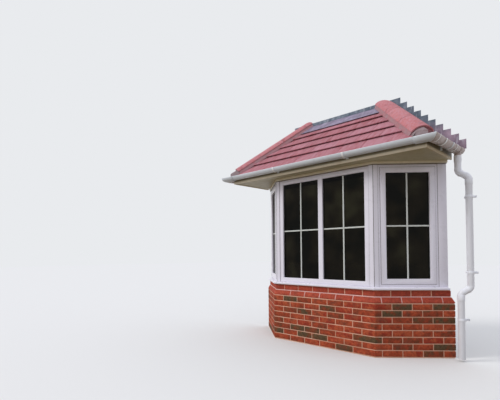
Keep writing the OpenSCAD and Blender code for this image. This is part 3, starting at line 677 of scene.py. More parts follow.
course_low, course_high = PLINTH_Z + BED, TOP_Z + BED
sloped_brick = make_brick(slope_front(0, BRICK.z))
plinth_bricks = lay_course(sloped_brick, course_low, *whole_brick_rows, LOW_Y, luck, 0.0)
sloped_core = mortar_core(course_low, course_high, LOW_Y,
                          slope_front(course_low, course_high, MORTAR_BACK))
build_wall("plinth_bricks", plinth_bricks, sloped_core, LOW_Y, plinth_clay, pale_mortar,
           "plinth_course")

top_bricks = lay_course(plain_brick, course_high, *half_brick_rows, TOP_Y, luck, 0.0)
build_wall("top_course_bricks", top_bricks, mortar_core(course_high, CILL_Z + BED, TOP_Y),
           TOP_Y, plinth_clay, mortar, "top_course")
for model in (plain_brick, sloped_brick):
    bpy.data.objects.remove(model)

# %% [markdown]
# ## Parts that keep their shape
#
# The frames, boards and pipes of the construction model have the right form, but their edges are
# razor sharp, and real plastic, wood and lead always catch a line of light on a rounded edge. A
# copy of each part is merged, its flat triangles are joined into whole faces and its sharp edges
# get a small bevel. The copy then stands for the part. The stepped lead and the rafters keep their
# triangles, because a whole face with that many notches is not filled cleanly.

# %% Soften a copy of a part
def softened(part, name, width, segments=2, flat=2.0, shade=40):
    """A copy of a part with whole faces and rounded edges. flat=None keeps its triangles."""
    only(parts[part])
    bpy.ops.object.duplicate()
    piece = bpy.context.view_layer.objects.active
    for key in list(piece.keys()):
        del piece[key]
    only(piece)
    bpy.ops.object.parent_clear(type="CLEAR_KEEP_TRANSFORM")
    bpy.ops.object.transform_apply(location=True, rotation=True, scale=True)
    piece.name = name
    edit(piece, "SELECT")
    bpy.ops.mesh.remove_doubles(threshold=0.00005)
    if flat:
        bpy.ops.mesh.dissolve_limited(angle_limit=math.radians(flat))
    done()
    if width:
        round_edges(piece, width, segments, 32)
    smooth(piece, shade)
    return piece


def dress(slot, finish, *rows, flat=2.0, shade=40):
    """Softens and hands over parts that share a finish. A row is part, new name and edge width."""
    for part, name, width in rows:
        hand_over(softened(part, name, width, flat=flat, shade=shade), [finish], slot, part)


# %% [markdown]
# ## White plastic
#
# Window frames, cill and trims are white plastic, smooth and a little glossy, with rain dust that
# gathers low down and in the corners. The rainwater goods are a thinner, slightly greyer plastic
# that has begun to chalk. The boards of the eaves are a cream foam board in the shade.

# %% Plastic finishes
def plastic_finish(name, clean, dirty, roughness, dust, painted_shade_band=None):
    """The last argument paints a band of shade: the height where it begins, where it is full, its
    colour.
    """
    plastic = Finish(name, roughness=roughness, specular=0.45)
    cloud = plastic.level(plastic.noise(0.4, 3.0), 0.35, 0.7, 0.0, dust)
    base = plastic.mix(cloud, clean, dirty)
    runs = plastic.noise(0.05, 3.0, plastic.stretched(1.0, 1.0, 0.08))
    streaks_and_shade = plastic.mix(plastic.level(runs, 0.56, 0.74, 0.0, dust), base, dirty)
    if painted_shade_band:
        # Painted shade: a darker band above or below a height.
        shade_band_mask = plastic.level(plastic.along("Z"), painted_shade_band[0], painted_shade_band[1], 0.0, 0.9)
        streaks_and_shade = plastic.mix(shade_band_mask, streaks_and_shade, painted_shade_band[2])
    fine = plastic.noise(0.004, 2.0)
    rough = plastic.level(plastic.noise(0.08, 3.0), 0.3, 0.7, roughness - 0.06, roughness + 0.10)
    return plastic.finish(streaks_and_shade, rough, plastic.bump(fine, 0.00006, 0.5))


HEAD_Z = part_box("frame_front")[1].z
SOFFIT_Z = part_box("head_trim")[1].z
white_plastic = plastic_finish("white_window_plastic", colour(236, 233, 244),
                               colour(216, 213, 224), 0.30, 0.15)
gutter_plastic = plastic_finish("grey_white_gutter_plastic", colour(222, 228, 236),
                                colour(196, 200, 200), 0.36, 0.35)
# The side gutters, the outlet and the side arms of the corner pieces get darker, pinkish brown
# colours: painted shade with a painted reflection of red brick, under clouds of dust.
shaded_side_gutter_plastic = plastic_finish("dust_and_painted_shade_gutter_plastic", colour(196, 182, 180),
                                     colour(162, 142, 134), 0.40, 0.5)
fitting_plastic = plastic_finish("white_fitting_plastic", colour(250, 251, 253),
                                 colour(236, 238, 240), 0.34, 0.3)
pipe_plastic = plastic_finish("white_pipe_plastic", colour(246, 248, 255),
                              colour(226, 228, 240), 0.34, 0.25)
# The fascia is painted darker above a low strip: painted shadow of the gutter in front of it.
fascia_plastic = plastic_finish("cream_fascia_board", colour(240, 230, 206),
                                colour(206, 190, 160), 0.45, 0.35,
                                (SOFFIT_Z + 0.016, SOFFIT_Z + 0.030, colour(118, 110, 86)))
soffit_plastic = plastic_finish("shaded_soffit_board", colour(190, 180, 146),
                                colour(158, 146, 112), 0.5, 0.5)
# The side fascias get the same painted gutter shadow, and darker colours as painted shade of the
# eaves.
side_fascia_plastic = plastic_finish("shaded_fascia_board", colour(196, 178, 140),
                                     colour(166, 146, 108), 0.45, 0.4,
                                     (SOFFIT_Z + 0.016, SOFFIT_Z + 0.030, colour(104, 94, 72)))
# The lowest few millimetres of the trim are painted dark brown: painted shadow of the gap above the
# frame heads.
trim_plastic = plastic_finish("cream_trim", colour(240, 230, 208), colour(212, 198, 170),
                              0.45, 0.3, (HEAD_Z + 0.014, HEAD_Z + 0.008, colour(70, 56, 38)))
print("plastic finishes ready")

# %% Frames, posts, jambs, cill and trims
cill = softened("window_cill", "cill", 0.004)
edit(cill)
lifted = pick(cill, "VERT", lambda at, normal: at.z < CILL_Z + 0.012)
bpy.ops.transform.translate(value=(0, 0, BED))
done()
hand_over(cill, [white_plastic], "white_frame", "window_cill")
print(lifted, "points of the cill raised onto the brick bed")
dress("white_frame", white_plastic,
      ("frame_front", "front_frame", 0.005),
      ("frame_left", "left_frame", 0.003),
      ("frame_right", "right_frame", 0.003),
      ("sash_left", "left_casement", 0.004),
      ("sash_right", "right_casement", 0.004),
      ("jamb_left", "left_wall_jamb", 0.0015),
      ("jamb_right", "right_wall_jamb", 0.0015),
      ("window_board", "inner_board", 0.005))
dress("white_frame", white_plastic, ("post_left", "left_corner_post", 0.0015),
      ("post_right", "right_corner_post", 0.0015), shade=15)
dress("white_frame", trim_plastic, ("head_trim", "head_trims", 0.0015))

# %% [markdown]
# ## Panes
#
# Each light is a double glazed unit. It is dark behind the panes in daylight, so they read as
# nearly black with a faint gloss. Clear glass would show the bright surroundings through the open
# back of the bay. So the glass is tinted near black as painted shade of the room, which looks dark
# from every side and still lets the frames behind show faintly. A thin dark gasket runs round each
# pane, and a flat white bar crosses it both ways on each side of the glass. A box becomes a gasket
# when its two broad faces are inset and taken out and the edges of the holes are bridged.

# %% Glass and gasket
glass = Finish("room_dark_glass", roughness=0.02, specular=0.1)
glass.shader.inputs["Transmission Weight"].default_value = 1.0
glass.shader.inputs["IOR"].default_value = 1.18
# The near black tint is painted shade of the room behind the panes, lighter and darker in patches.
tint = glass.ramp(glass.noise(0.35, 2.0), (0.38, (0.002, 0.002, 0.001)),
                  (0.52, (0.008, 0.006, 0.003)), (0.68, (0.020, 0.018, 0.009)))
dark_glass = glass.finish(tint, relief=glass.bump(glass.noise(0.6, 1.0), 0.0006, 0.3))

rubber = Finish("black_gasket", roughness=0.6, specular=0.3)
black_rubber = rubber.finish(rubber.ramp(rubber.noise(0.01, 2.0), (0.3, colour(20, 20, 21)),
                                         (0.7, colour(38, 38, 40))))

LIGHTS = {
    "pane_front_left": "front",
    "pane_front_right": "front",
    "pane_left": "left",
    "pane_right": "right",
}
for part in LIGHTS:
    hand_over(softened(part, part.replace("pane", "glass"), 0.001, 1), [dark_glass], "glass", part)


# %% Flat pieces on the faces of the bay
COVER = 0.010
GASKET_T, GASKET_W = 0.003, 0.005
BAR_T, BAR_HALF, BAR_END, BAR_Z = 0.004, 0.0085, 0.002, 1.494


def face_place(side):
    """The matrix that carries a flat piece, x along and y inward, onto a face of the bay."""
    sign = {"front": 0, "right": 1, "left": -1}[side]
    return (Matrix.Translation((sign * HALF_FRONT, WINDOW_Y, 0))
            @ Matrix.Rotation(sign * BEND, 4, "Z"))


def on_face(part, side):
    """The points of a part as its own face of the bay has them."""
    back = face_place(side).inverted()
    return [back @ vert.co for vert in parts[part].data.vertices]


def limits(values):
    return min(values), max(values)


# %% Gaskets and glazing bars
def make_gasket(x0, x1, z0, z1, y):
    gasket = start_box("gasket", (x0, y, z0), (x1, y + GASKET_T, z1))
    edit(gasket)
    pick(gasket, "FACE", lambda centre, normal: abs(normal.y) > 0.9)
    bpy.ops.mesh.inset(thickness=GASKET_W, depth=0)
    bpy.ops.mesh.delete(type="FACE")
    pick(gasket, "EDGE", lambda centre, run: x0 + 0.004 < centre.x < x1 - 0.004
         and z0 + 0.004 < centre.z < z1 - 0.004)
    bpy.ops.mesh.bridge_edge_loops()
    bpy.ops.mesh.select_all(action="SELECT")
    bpy.ops.mesh.normals_make_consistent(inside=False)
    done()
    return gasket


def make_bar(low, high, outward):
    """A flat bar with a raised middle on its outer face, which looks along outward on y."""
    bar = start_box("bar", low, high)
    edit(bar)
    pick(bar, "FACE", lambda centre, normal: normal.y * outward > 0.9)
    bpy.ops.mesh.inset(thickness=0.004, depth=0)
    bpy.ops.transform.translate(value=(0, outward * 0.0025, 0))
    done()
    return bar


bar_white = plastic_finish("bar_plastic", colour(216, 220, 216), colour(200, 204, 198), 0.35, 0.2)
gaskets, bars = [], []
for part, side in LIGHTS.items():
    points = on_face(part, side)
    (x0, x1), (z0, z1) = limits([p.x for p in points]), limits([p.z for p in points])
    x0, x1, z0, z1 = x0 + COVER, x1 - COVER, z0 + COVER, z1 - COVER
    front_y, back_y = limits([p.y for p in points])
    here = [make_gasket(x0, x1, z0, z1, y) for y in (front_y - GASKET_T, back_y)]
    gaskets += here
    middle = (x0 + x1) / 2
    for y, outward in ((front_y - BAR_T, -1), (back_y, 1)):
        here += [make_bar((middle - BAR_HALF, y, z0 + BAR_END),
                          (middle + BAR_HALF, y + BAR_T, z1 - BAR_END), outward),
                 make_bar((x0 + BAR_END, y, BAR_Z - BAR_HALF),
                          (x1 - BAR_END, y + BAR_T, BAR_Z + BAR_HALF), outward)]
    bars += here[2:]
    for piece in here:
        piece.data.transform(face_place(side))
hand_over(put_together("pane_gaskets", gaskets), [black_rubber], "white_frame")
hand_over(put_together("glazing_bars", bars), [bar_white], "white_frame")

# %% [markdown]
# ## Joint lines
#
# Frames, corner posts and wall jambs are separate lengths of plastic that stand side by side, and
# a casement closes against its frame with a small gap. Each joint shows as a fine grey line, the
# shade in the gap. A line that is only painted on would stretch or blur, so each is a thin strip
# with its own edges, coloured grey as painted shade.

# %% Grey lines between posts, frames, casements and jambs
def joint_line(side, x0, x1, z0, z1):
    """A thin strip that shows as a grey line on the outer face of the frames: painted shade of a
    gap.
    """
    line = start_box("line", (x0, -0.0010, z0), (x1, 0.004, z1))
    edit(line)
    pick(line, "FACE", lambda centre, normal: normal.y < -0.9)
    bpy.ops.mesh.inset(thickness=0.0006, depth=0)
    bpy.ops.transform.translate(value=(0, -0.0004, 0))
    done()
    line.data.transform(face_place(side))
    return line


FRAME_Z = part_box("frame_front")[0].z
front_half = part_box("frame_front")[1].x
GAP = 0.0035
lines = [joint_line("front", front_half - GAP, front_half, FRAME_Z, HEAD_Z),
         joint_line("front", -front_half, GAP - front_half, FRAME_Z, HEAD_Z)]
for side, sign in (("right", 1), ("left", -1)):
    near, far = limits([abs(point.x) for point in on_face("frame_" + side, side)])
    lip = on_face("sash_" + side, side)
    (x0, x1), (z0, z1) = limits([abs(point.x) for point in lip]), limits([p.z for p in lip])
    for first, second, low, high in (
            (near, near + GAP, FRAME_Z, HEAD_Z),
            (far - GAP, far, FRAME_Z, HEAD_Z),
            (x0 - GAP, x0, z0, z1),
            (x1, x1 + GAP, z0, z1),
            (x0 - GAP, x1 + GAP, z0 - GAP, z0),
            (x0 - GAP, x1 + GAP, z1, z1 + GAP)):
        lines.append(joint_line(side, *limits([sign * first, sign * second]), low, high))
    groove = start_box("groove", (-0.0026, -0.0060, FRAME_Z + 0.002),
                       (0.0026, -0.0035, HEAD_Z - 0.002))
    edit(groove)
    pick(groove, "EDGE", lambda centre, run: abs(run.z) > 0.9 and centre.y < -0.005)
    bpy.ops.mesh.bevel(offset=0.0008, segments=1, affect="EDGES")
    done()
    groove.data.transform(Matrix.Translation((sign * HALF_FRONT, WINDOW_Y, 0))
                          @ Matrix.Rotation(sign * BEND / 2, 4, "Z"))
    lines.append(groove)
# The grey of the lines and the post grooves is painted shade of the gaps between the plastic parts.
gap_shadow_paint = Finish("painted_joint_gap_shadow", roughness=0.6, specular=0.3)
painted_gap_shadow = gap_shadow_paint.finish(gap_shadow_paint.ramp(gap_shadow_paint.noise(0.02, 2.0), (0.3, colour(92, 84, 88)),
                                  (0.7, colour(120, 110, 112))))
hand_over(put_together("frame_joint_lines", lines), [painted_gap_shadow], "white_frame")

# %% [markdown]
# ## Boards of the eaves
#
# The soffit closes the eaves from below and the fascias stand behind the gutters. They lie in the
# shade of the roof, so those at the sides get a darker, warmer finish than the front one.

# %% Eaves boards
dress("board", soffit_plastic, ("soffit_board", "soffit", 0.001))
dress("board", fascia_plastic, ("fascia_front", "front_fascia", 0.002))
dress("board", side_fascia_plastic, ("fascia_left", "left_fascia", 0.002),
      ("fascia_right", "right_fascia", 0.002))

# %% [markdown]
# ## Roof tiles
#
# The roof is covered with flat concrete tiles in six courses. Each tile lies on the head of the
# one below, so every course ends in a thick edge and a shadow. The pigment has faded to a dusty
# pink, a little different from tile to tile, and grit makes it matt. A picture of lines would be
# flat from the side, so the tiles are modelled: one tile, copied along each course with a small
# gap, half a tile over in every other course, and the whole slope cut along the hips.

# %% Tile finishes
def tile_finish(name, dull, clean, pale, fall):
    """fall is how fast the streaks change along x, y and z: slow down the slope."""
    cement = Finish(name, roughness=0.85, specular=0.3)
    each = cement.ramp(cement.tone(), (0.0, dull), (0.5, clean), (1.0, pale))
    cloud = cement.level(cement.noise(0.09, 4.0), 0.35, 0.7, 0.0, 0.45)
    faded = cement.mix(cloud, each, pale)
    streak = cement.level(cement.noise(0.022, 3.0, cement.stretched(*fall)), 0.40, 0.66, 0.0, 0.5)
    bleached = cement.mix(streak, faded, colour(196, 152, 164))
    runs = cement.noise(0.05, 3.0, cement.stretched(*fall))
    dirty = cement.mix(cement.level(runs, 0.56, 0.72, 0.0, 0.4), bleached, colour(126, 74, 80))
    grit = cement.noise(0.0022, 3.0)
    specks = cement.mix(cement.level(grit, 0.60, 0.72, 0.0, 0.5), dirty, colour(206, 158, 158))
    # Dark pits: painted shade in the small holes of the cement face.
    pit_shade = cement.mix(cement.level(grit, 0.40, 0.30, 0.0, 0.5), specks, colour(92, 50, 50))
    relief = cement.bump(grit, 0.0012, 0.8, cement.bump(cement.noise(0.03, 3.0), 0.003, 0.5))
    return cement.finish(pit_shade, cement.level(grit, 0.3, 0.7, 0.76, 0.94), relief)


TILE_SHADES = (colour(158, 90, 98), colour(170, 102, 110), colour(180, 120, 132))
front_cement = tile_finish("pink_red_tile_front", *TILE_SHADES, (1.0, 0.12, 0.12))
side_cement = tile_finish("pink_red_tile_side", *TILE_SHADES, (0.12, 1.0, 0.12))
hip_cement = tile_finish("salmon_hip_tile", colour(184, 108, 112), colour(192, 116, 120),
                         colour(200, 130, 134), (1.0, 1.0, 0.3))


def bedding_finish(name, low, high, cloud):
    bed = Finish(name, roughness=0.95, specular=0.2)
    sand = bed.ramp(bed.noise(0.003, 3.0), (0.3, low), (0.7, high))
    worn = bed.mix(bed.level(bed.noise(0.05, 4.0), 0.4, 0.65, 0.0, 0.7), sand, cloud)
    lumps = bed.bump(bed.noise(0.03, 2.0), 0.006, 0.6)
    return bed.finish(worn, relief=bed.bump(bed.noise(0.004, 4.0), 0.003, 1.0, lumps))


bed_mortar = bedding_finish("hip_mortar", colour(150, 118, 122), colour(188, 152, 158),
                            colour(182, 122, 128))
toe_mortar = bedding_finish("hip_toe_mortar", colour(132, 116, 118), colour(172, 154, 158),
                            colour(140, 120, 122))
felt = Finish("roof_underlay", roughness=0.9, specular=0.2)
fibres = felt.ramp(felt.noise(0.01, 3.0), (0.3, colour(62, 60, 58)), (0.7, colour(84, 82, 80)))
underlay = felt.finish(fibres, relief=felt.bump(felt.noise(0.006, 3.0), 0.001, 0.8))
print("tile finishes ready")

# %% Measures of the roof
ROOF_RUN = -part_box("roof_front")[0].y
EAVES_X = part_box("roof_right")[1].x
EAVES_Z = 2.351
RIDGE_HALF = 0.620
SIDE_RUN = EAVES_X - RIDGE_HALF
FRONT_PITCH = math.radians(41)
ROOF_RISE = ROOF_RUN * math.tan(FRONT_PITCH)
SIDE_PITCH = math.atan2(ROOF_RISE, SIDE_RUN)
TILE_STEP = 0.022
TILE_NOSE = 0.012
TILE_EDGES = [0.0] + [0.221 + 0.193 * i for i in range(5)]
TILE_WIDTH = 0.300
TILE_LAP = 0.030
FELT_LOW, FELT_HIGH = -0.045, -0.027
FRONT_OVERHANG, SIDE_OVERHANG, FASCIA_T, EAVES_PAST = 0.050, 0.036, 0.018, 0.020
HIP_OVER_RUN = SIDE_RUN / ROOF_RUN
print("roof rises", round(ROOF_RISE, 3), "side pitch", round(math.degrees(SIDE_PITCH), 2))


# %% One tile and its courses
def make_tile(length, lap):
    """A flat tile on the level: x across, y up the slope, its lower edge on y = 0."""
    tile = start_box("tile", (0.0015, 0, -TILE_NOSE), (TILE_WIDTH - 0.0015, length + lap, 0))
    edit(tile, "SELECT")
    bpy.ops.mesh.bisect(plane_co=(0, length / 2, 0), plane_no=(0, 1, 0))
    for y, fall in ((length / 2, TILE_STEP / 2),
                    (length + lap, TILE_STEP * (1 + lap / length) + 0.002)):
        pick(tile, "VERT", lambda at, normal: abs(at.y - y) < 0.002)
        bpy.ops.transform.translate(value=(0, 0, -fall))
    pick(tile, "EDGE", lambda centre, run: centre.y < 0.002 or
         (abs(run.y) > 0.7 and (centre.x < 0.01 or centre.x > TILE_WIDTH - 0.01)))
    bpy.ops.mesh.bevel(offset=0.0025, segments=2, affect="EDGES")
    done()
    return tile


def tile_slope(name, pitch, half_width, felt_y, cement, luck):
    """All courses of one slope, tipped to its pitch, with the eaves edge on the x axis."""
    stretch = math.sin(FRONT_PITCH) / math.sin(pitch)
    edges = [edge * stretch for edge in TILE_EDGES]
    top = ROOF_RISE / math.sin(pitch) + 0.030
    tiles = []
    for index, edge in enumerate(edges):
        length = (edges[index + 1] if index + 1 < len(edges) else top) - edge
        model = make_tile(length, 0 if index + 1 == len(edges) else TILE_LAP)
        x = -half_width - TILE_WIDTH * (0.5 if index % 2 else 0)
        while x < half_width:
            tile = twin(model)
            lift, slip = luck.uniform(0, 0.0015), luck.uniform(-0.001, 0.001)
            tilt = luck.uniform(-0.003, 0.003)
            for vert in tile.data.vertices:
                vert.co.z += lift + (vert.co.x - TILE_WIDTH / 2) * tilt
                vert.co += Vector((x, edge + slip, 0))
            mark_tone(tile, luck.random())
            tiles.append(tile)
            x += TILE_WIDTH
        bpy.data.objects.remove(model)
    slope = put_together(name, tiles)
    coat(slope, cement)
    under = start_box("underlay", (-half_width, felt_y, FELT_LOW), (half_width, top, FELT_HIGH))
    mark_tone(under, 0.5)
    coat(under, underlay)
    slope = put_together(name, (slope, under))
    slope.data.transform(Matrix.Rotation(pitch, 4, "X"))
    return slope


# %% Three slopes, cut along the hips
def trim_to(slope, corners):
    """Cuts the slope to a convex outline in plan, given anticlockwise from above."""
    for first, second in zip(corners, corners[1:] + corners[:1]):
        along = Vector((second[0] - first[0], second[1] - first[1], 0))
        outward = Vector((along.y, -along.x, 0)).normalized()
        cut(slope, (*first, 0), outward, "outer", cap=True)


def felt_start(overhang, pitch):
    """How far up the slope the felt begins: behind the fascia, which keeps it out of sight."""
    return (overhang + FASCIA_T) / math.cos(pitch) + 0.025


eaves_y = -ROOF_RUN - EAVES_PAST
half = RIDGE_HALF - eaves_y * HIP_OVER_RUN
front = tile_slope("tiles_front", FRONT_PITCH, EAVES_X + 0.05,
                   felt_start(FRONT_OVERHANG, FRONT_PITCH), front_cement, random.Random(21))
front.data.transform(Matrix.Translation((0, -ROOF_RUN, EAVES_Z)))
trim_to(front, [(-half, eaves_y), (half, eaves_y), (RIDGE_HALF, 0), (-RIDGE_HALF, 0)])
smooth(front, 40)
hand_over(front, None, "tile", "roof_front")

for side, sign in (("right", 1), ("left", -1)):
    slope = tile_slope("tiles_" + side, SIDE_PITCH, ROOF_RUN + 0.05,
                       felt_start(SIDE_OVERHANG, SIDE_PITCH), side_cement,
                       random.Random(30 + sign))
    slope.data.transform(Matrix.Translation((sign * EAVES_X, 0, EAVES_Z))
                         @ Matrix.Rotation(math.radians(90) * sign, 4, "Z"))
    outline = [(RIDGE_HALF, 0), (half, eaves_y), (half, 0)]
    if sign < 0:
        outline = [(-x, y) for x, y in reversed(outline)]
    trim_to(slope, outline)
    smooth(slope, 40)
    hand_over(slope, None, "tile", "roof_" + side)

# %% [markdown]
# ## Hip tiles
#
# Where two slopes meet, a row of half round hip tiles covers the gap, set in a bed of mortar that
# shows along both edges and fills the lowest end. A hip tile is a slice of a tube: a cylinder is
# cut to its width, thickened and laid up the hip again and again with a mortar joint between. The
# bed follows two slopes of different pitch, which no primitive has, so its points are worked out
# one by one. The left hip is the right one mirrored, with its faces turned outward again.

# %% Measures of a hip, and one hip tile
HIP_RUN = math.hypot(ROOF_RUN, SIDE_RUN)
HIP_PITCH = math.atan2(ROOF_RISE, HIP_RUN)
HIP_LEN = HIP_RUN / math.cos(HIP_PITCH)
HIP_R, HIP_T, HIP_CROWN, HIP_HALF = 0.130, 0.015, 0.050, 0.113
HIP_BACK, HIP_JOINT, HIP_COUNT, HIP_SPREAD = 0.130, 0.008, 3, 0.006
TOE_END, BED_DEPTH = HIP_BACK + 0.012, 0.014
HIP_OFF_BACK, HIP_OFF_EAVES = 0.003, 0.004
HIP_TONES = (0.25, 0.70, 0.45)
hip_step = (HIP_LEN - HIP_BACK) / HIP_COUNT
print("hip", round(HIP_LEN, 3), "long, one tile each", round(hip_step, 3))


def hip_place():
    """The matrix that carries a row along x onto the right hip, from the eaves upward."""
    turn = math.radians(180) - math.atan2(ROOF_RUN, SIDE_RUN)
    return (Matrix.Translation((EAVES_X, -ROOF_RUN, EAVES_Z)) @ Matrix.Rotation(turn, 4, "Z")
            @ Matrix.Rotation(-HIP_PITCH, 4, "Y"))


def make_hip_tile(start, end):
    """A slice of a tube along x, its crown above the meeting line of the slopes."""
    tile = start_tube(HIP_R, end - start, ((start + end) / 2, 0, HIP_CROWN - HIP_R), vertices=72)
    cut(tile, (0, 0, HIP_CROWN - HIP_R), (0, 0, 1), "inner")
    cut(tile, (0, HIP_HALF, 0), (0, 1, 0), "outer")
    cut(tile, (0, -HIP_HALF, 0), (0, -1, 0), "outer")
    thicken(tile, HIP_T, -1)
    round_edges(tile, 0.003, 2, 40)
    return tile


# %% The bed of mortar
SLICES = 12


def mortar_bed(outer_r, start, end):
    """The bed under the hip tiles: round on top, steep at its sides, flat on the two slopes.

    A tall box is cut into lengthwise slices, and then each of its points is set to its height.
    """
    bed_half, shoulder = HIP_HALF + HIP_SPREAD, HIP_HALF - 2 * HIP_T
    front_fall = SIDE_RUN / ROOF_RUN * math.sin(HIP_PITCH)
    side_fall = ROOF_RUN / SIDE_RUN * math.sin(HIP_PITCH)
    bed = start_box("bed", (start, -bed_half, -0.30), (end, bed_half, HIP_CROWN + 0.02))
    edit(bed, "SELECT")
    bpy.ops.mesh.bisect(plane_co=(0, 0, 0), plane_no=(0, 1, 0))
    for count in range(1, SLICES):
        for sign in (-1, 1):
            bpy.ops.mesh.select_all(action="SELECT")
            bpy.ops.mesh.bisect(plane_co=(0, sign * bed_half * count / SLICES, 0),
                                plane_no=(0, 1, 0))
    for vert in bmesh.from_edit_mesh(bed.data).verts:
        y = vert.co.y
        fall = front_fall if y > 0 else side_fall
        if vert.co.z < 0:
            vert.co.z = -abs(y) * fall - BED_DEPTH
        else:
            share = (bed_half - abs(y)) / (bed_half - shoulder)
            steep = share * (HIP_CROWN + bed_half * fall) - bed_half * fall
            arc = HIP_CROWN - HIP_R + math.sqrt(max(outer_r ** 2 - y * y, 0))
            vert.co.z = min(arc, steep)
    bmesh.update_edit_mesh(bed.data)
    done()
    return bed


# %% Both hips
for side in ("right", "left"):
    row = [make_hip_tile(0, hip_step - HIP_JOINT) for _ in range(HIP_COUNT)]
    for index, tile in enumerate(row):
        tile.data.transform(Matrix.Translation((HIP_BACK + index * hip_step, 0, 0)))
        if index == HIP_COUNT - 1:
            for vert in tile.data.vertices:
                if vert.co.x > HIP_LEN - HIP_JOINT - 0.02:
                    vert.co.x += 2 * HIP_R
        mark_tone(tile, HIP_TONES[index])
    tiles = put_together("hip_tiles_" + side, row)
    coat(tiles, hip_cement)
    toe = mortar_bed(HIP_R - HIP_T - 0.006, 0, TOE_END)
    cut(toe, (0, 0, 0), (0, -1, 0), "outer", cap=True)
    bed = mortar_bed(HIP_R - HIP_T / 2, TOE_END, HIP_LEN + 2 * HIP_R)
    for length, stuff in ((toe, toe_mortar), (bed, bed_mortar)):
        mark_tone(length, 0.5)
        coat(length, stuff)
    hip = put_together("hip_tiles_" + side, (tiles, toe, bed))
    hip.data.transform(hip_place())
    cut(hip, (0, -HIP_OFF_BACK, 0), (0, 1, 0), "outer", cap=True)
    cut(hip, (0, HIP_OFF_EAVES - ROOF_RUN, 0), (0, -1, 0), "outer", cap=True)
    cut(hip, (EAVES_X - HIP_OFF_EAVES, 0, 0), (1, 0, 0), "outer", cap=True)
    if side == "left":
        hip.data.transform(Matrix.Scale(-1, 4, (1, 0, 0)))
        edit(hip, "SELECT")
        bpy.ops.mesh.flip_normals()
        done()
    smooth(hip, 40)
    hand_over(hip, None, "tile", "hip_" + side)

# %% [markdown]
# ## Lead
#
# Sheet lead weathers from bright to a blue grey with a pale bloom where rain runs over it. It is
# soft, so its edges are round and its face is never quite flat. The sheets that lie on the tiles
# are paler than those that stand upright behind them, and these are darker higher up.

# %% Lead finish and flashings
sheet = Finish("weathered_lead", roughness=0.55, metallic=0.35, specular=0.4)
bloom = sheet.level(sheet.noise(0.08, 4.0), 0.35, 0.68, 0.0, 1.0)
lying = sheet.mix(bloom, colour(128, 118, 138), colour(160, 148, 174))
high_lead = sheet.mix(bloom, colour(74, 86, 100), colour(108, 116, 130))
low_lead = sheet.mix(bloom, colour(126, 110, 126), colour(160, 140, 156))
standing = sheet.mix(sheet.level(sheet.along("Z"), 2.74, 2.56), high_lead, low_lead)
grey = sheet.mix(sheet.level(sheet.along("Y"), -0.022, -0.014), lying, standing)
white_runs = sheet.noise(0.03, 3.0, sheet.stretched(1.0, 0.2, 0.2))
lead_metal = sheet.finish(
    sheet.mix(sheet.level(white_runs, 0.58, 0.72, 0.0, 0.5), grey, colour(186, 184, 196)),
    sheet.level(sheet.noise(0.05, 3.0), 0.3, 0.7, 0.42, 0.68),
    sheet.bump(sheet.noise(0.03, 3.0), 0.004, 0.6))
dress("lead", lead_metal, ("lead_apron", "apron_lead", 0.0012),
      ("lead_left", "left_lead", 0.0012), ("lead_right", "right_lead", 0.0012), flat=None)

# %% [markdown]
# ## Gutters and pipe
#
# The gutters and pipes have the right form already. Three things are added. A moulded corner piece
# is thicker than the gutter that it joins, so its outer shell is pushed outward, point by point,
# away from the gutter's middle line. Straps hold the gutter between the brackets, and raised rims
# run round the outlet and the ends of the corner pieces. A strap is half of a short tube: a
# cylinder is cut level with the gutter's top and thickened.

# %% Gutters, and corner pieces with full shells
GUTTER_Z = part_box("gutter_front")[1].z
corner_low, corner_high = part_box("gutter_angle_right")
SOCKET_R = GUTTER_Z - corner_low.z
front_line = corner_low.y + SOCKET_R
side_line = corner_high.x - SOCKET_R
FULLER, SHELL_T, PAST_BEND = 0.005, 0.0032, 0.070


def fatten_corner(piece):
    """Pushes the outer shell of a corner piece outward, and leaves its inside and its top edge."""
    edit(piece)
    mesh = bmesh.from_edit_mesh(piece.data)
    for vert in mesh.verts:
        sign = 1 if vert.co.x > 0 else -1
        off_y, off_x = vert.co.y - front_line, abs(vert.co.x) - side_line
        off_z = vert.co.z - GUTTER_Z
        on_front, on_side = off_x < -PAST_BEND, off_y > PAST_BEND
        reach = math.hypot(off_x if on_side else off_y, off_z)
        if reach < SOCKET_R - SHELL_T / 2 or off_z > -0.002:
            continue
        grow = FULLER / reach
        vert.co.z += off_z * grow
        if not on_side:
            vert.co.y += off_y * grow
        if not on_front:
            vert.co.x += sign * off_x * grow
    bmesh.update_edit_mesh(piece.data)
    done()


dress("rainwater", gutter_plastic, ("gutter_front", "front_gutter", 0.0006))
for side in ("left", "right"):
    corner_piece = softened("gutter_angle_" + side, side + "_gutter_corner", 0.0008)
    fatten_corner(corner_piece)
    hand_over(corner_piece, [gutter_plastic, shaded_side_gutter_plastic], "rainwater",
              "gutter_angle_" + side)
    # Faces past the mitre take the side finish, with its painted shade and painted brick
    # reflection.
    for face in corner_piece.data.polygons:
        past_mitre = abs(face.center.x) - side_line + face.center.y - front_line
        face.material_index = 1 if past_mitre > 0 else 0
dress("rainwater", shaded_side_gutter_plastic, ("gutter_left", "left_gutter", 0.0006),
      ("gutter_right", "right_gutter", 0), ("gutter_outlet", "outlet", 0))
dress("rainwater", gutter_plastic, ("gutter_brackets", "brackets", 0.001))


# %% Straps and raised rims round the gutters
def half_band(centre, turn, radius, width, thick):
    """A band round the lower half of a gutter that runs along x, or along y when turned."""
    band = start_tube(radius, width, centre, turn)
    cut(band, centre, (0, 0, 1), "outer")
    thicken(band, thick, 1)
    round_edges(band, thick * 0.3, 1, 50)
    return band


across, quarter = 0, math.radians(90)
STRAP_X, STRAP_Y, CORNER_Y, OUTLET_Y = 0.500, 0.600, 0.800, 0.260
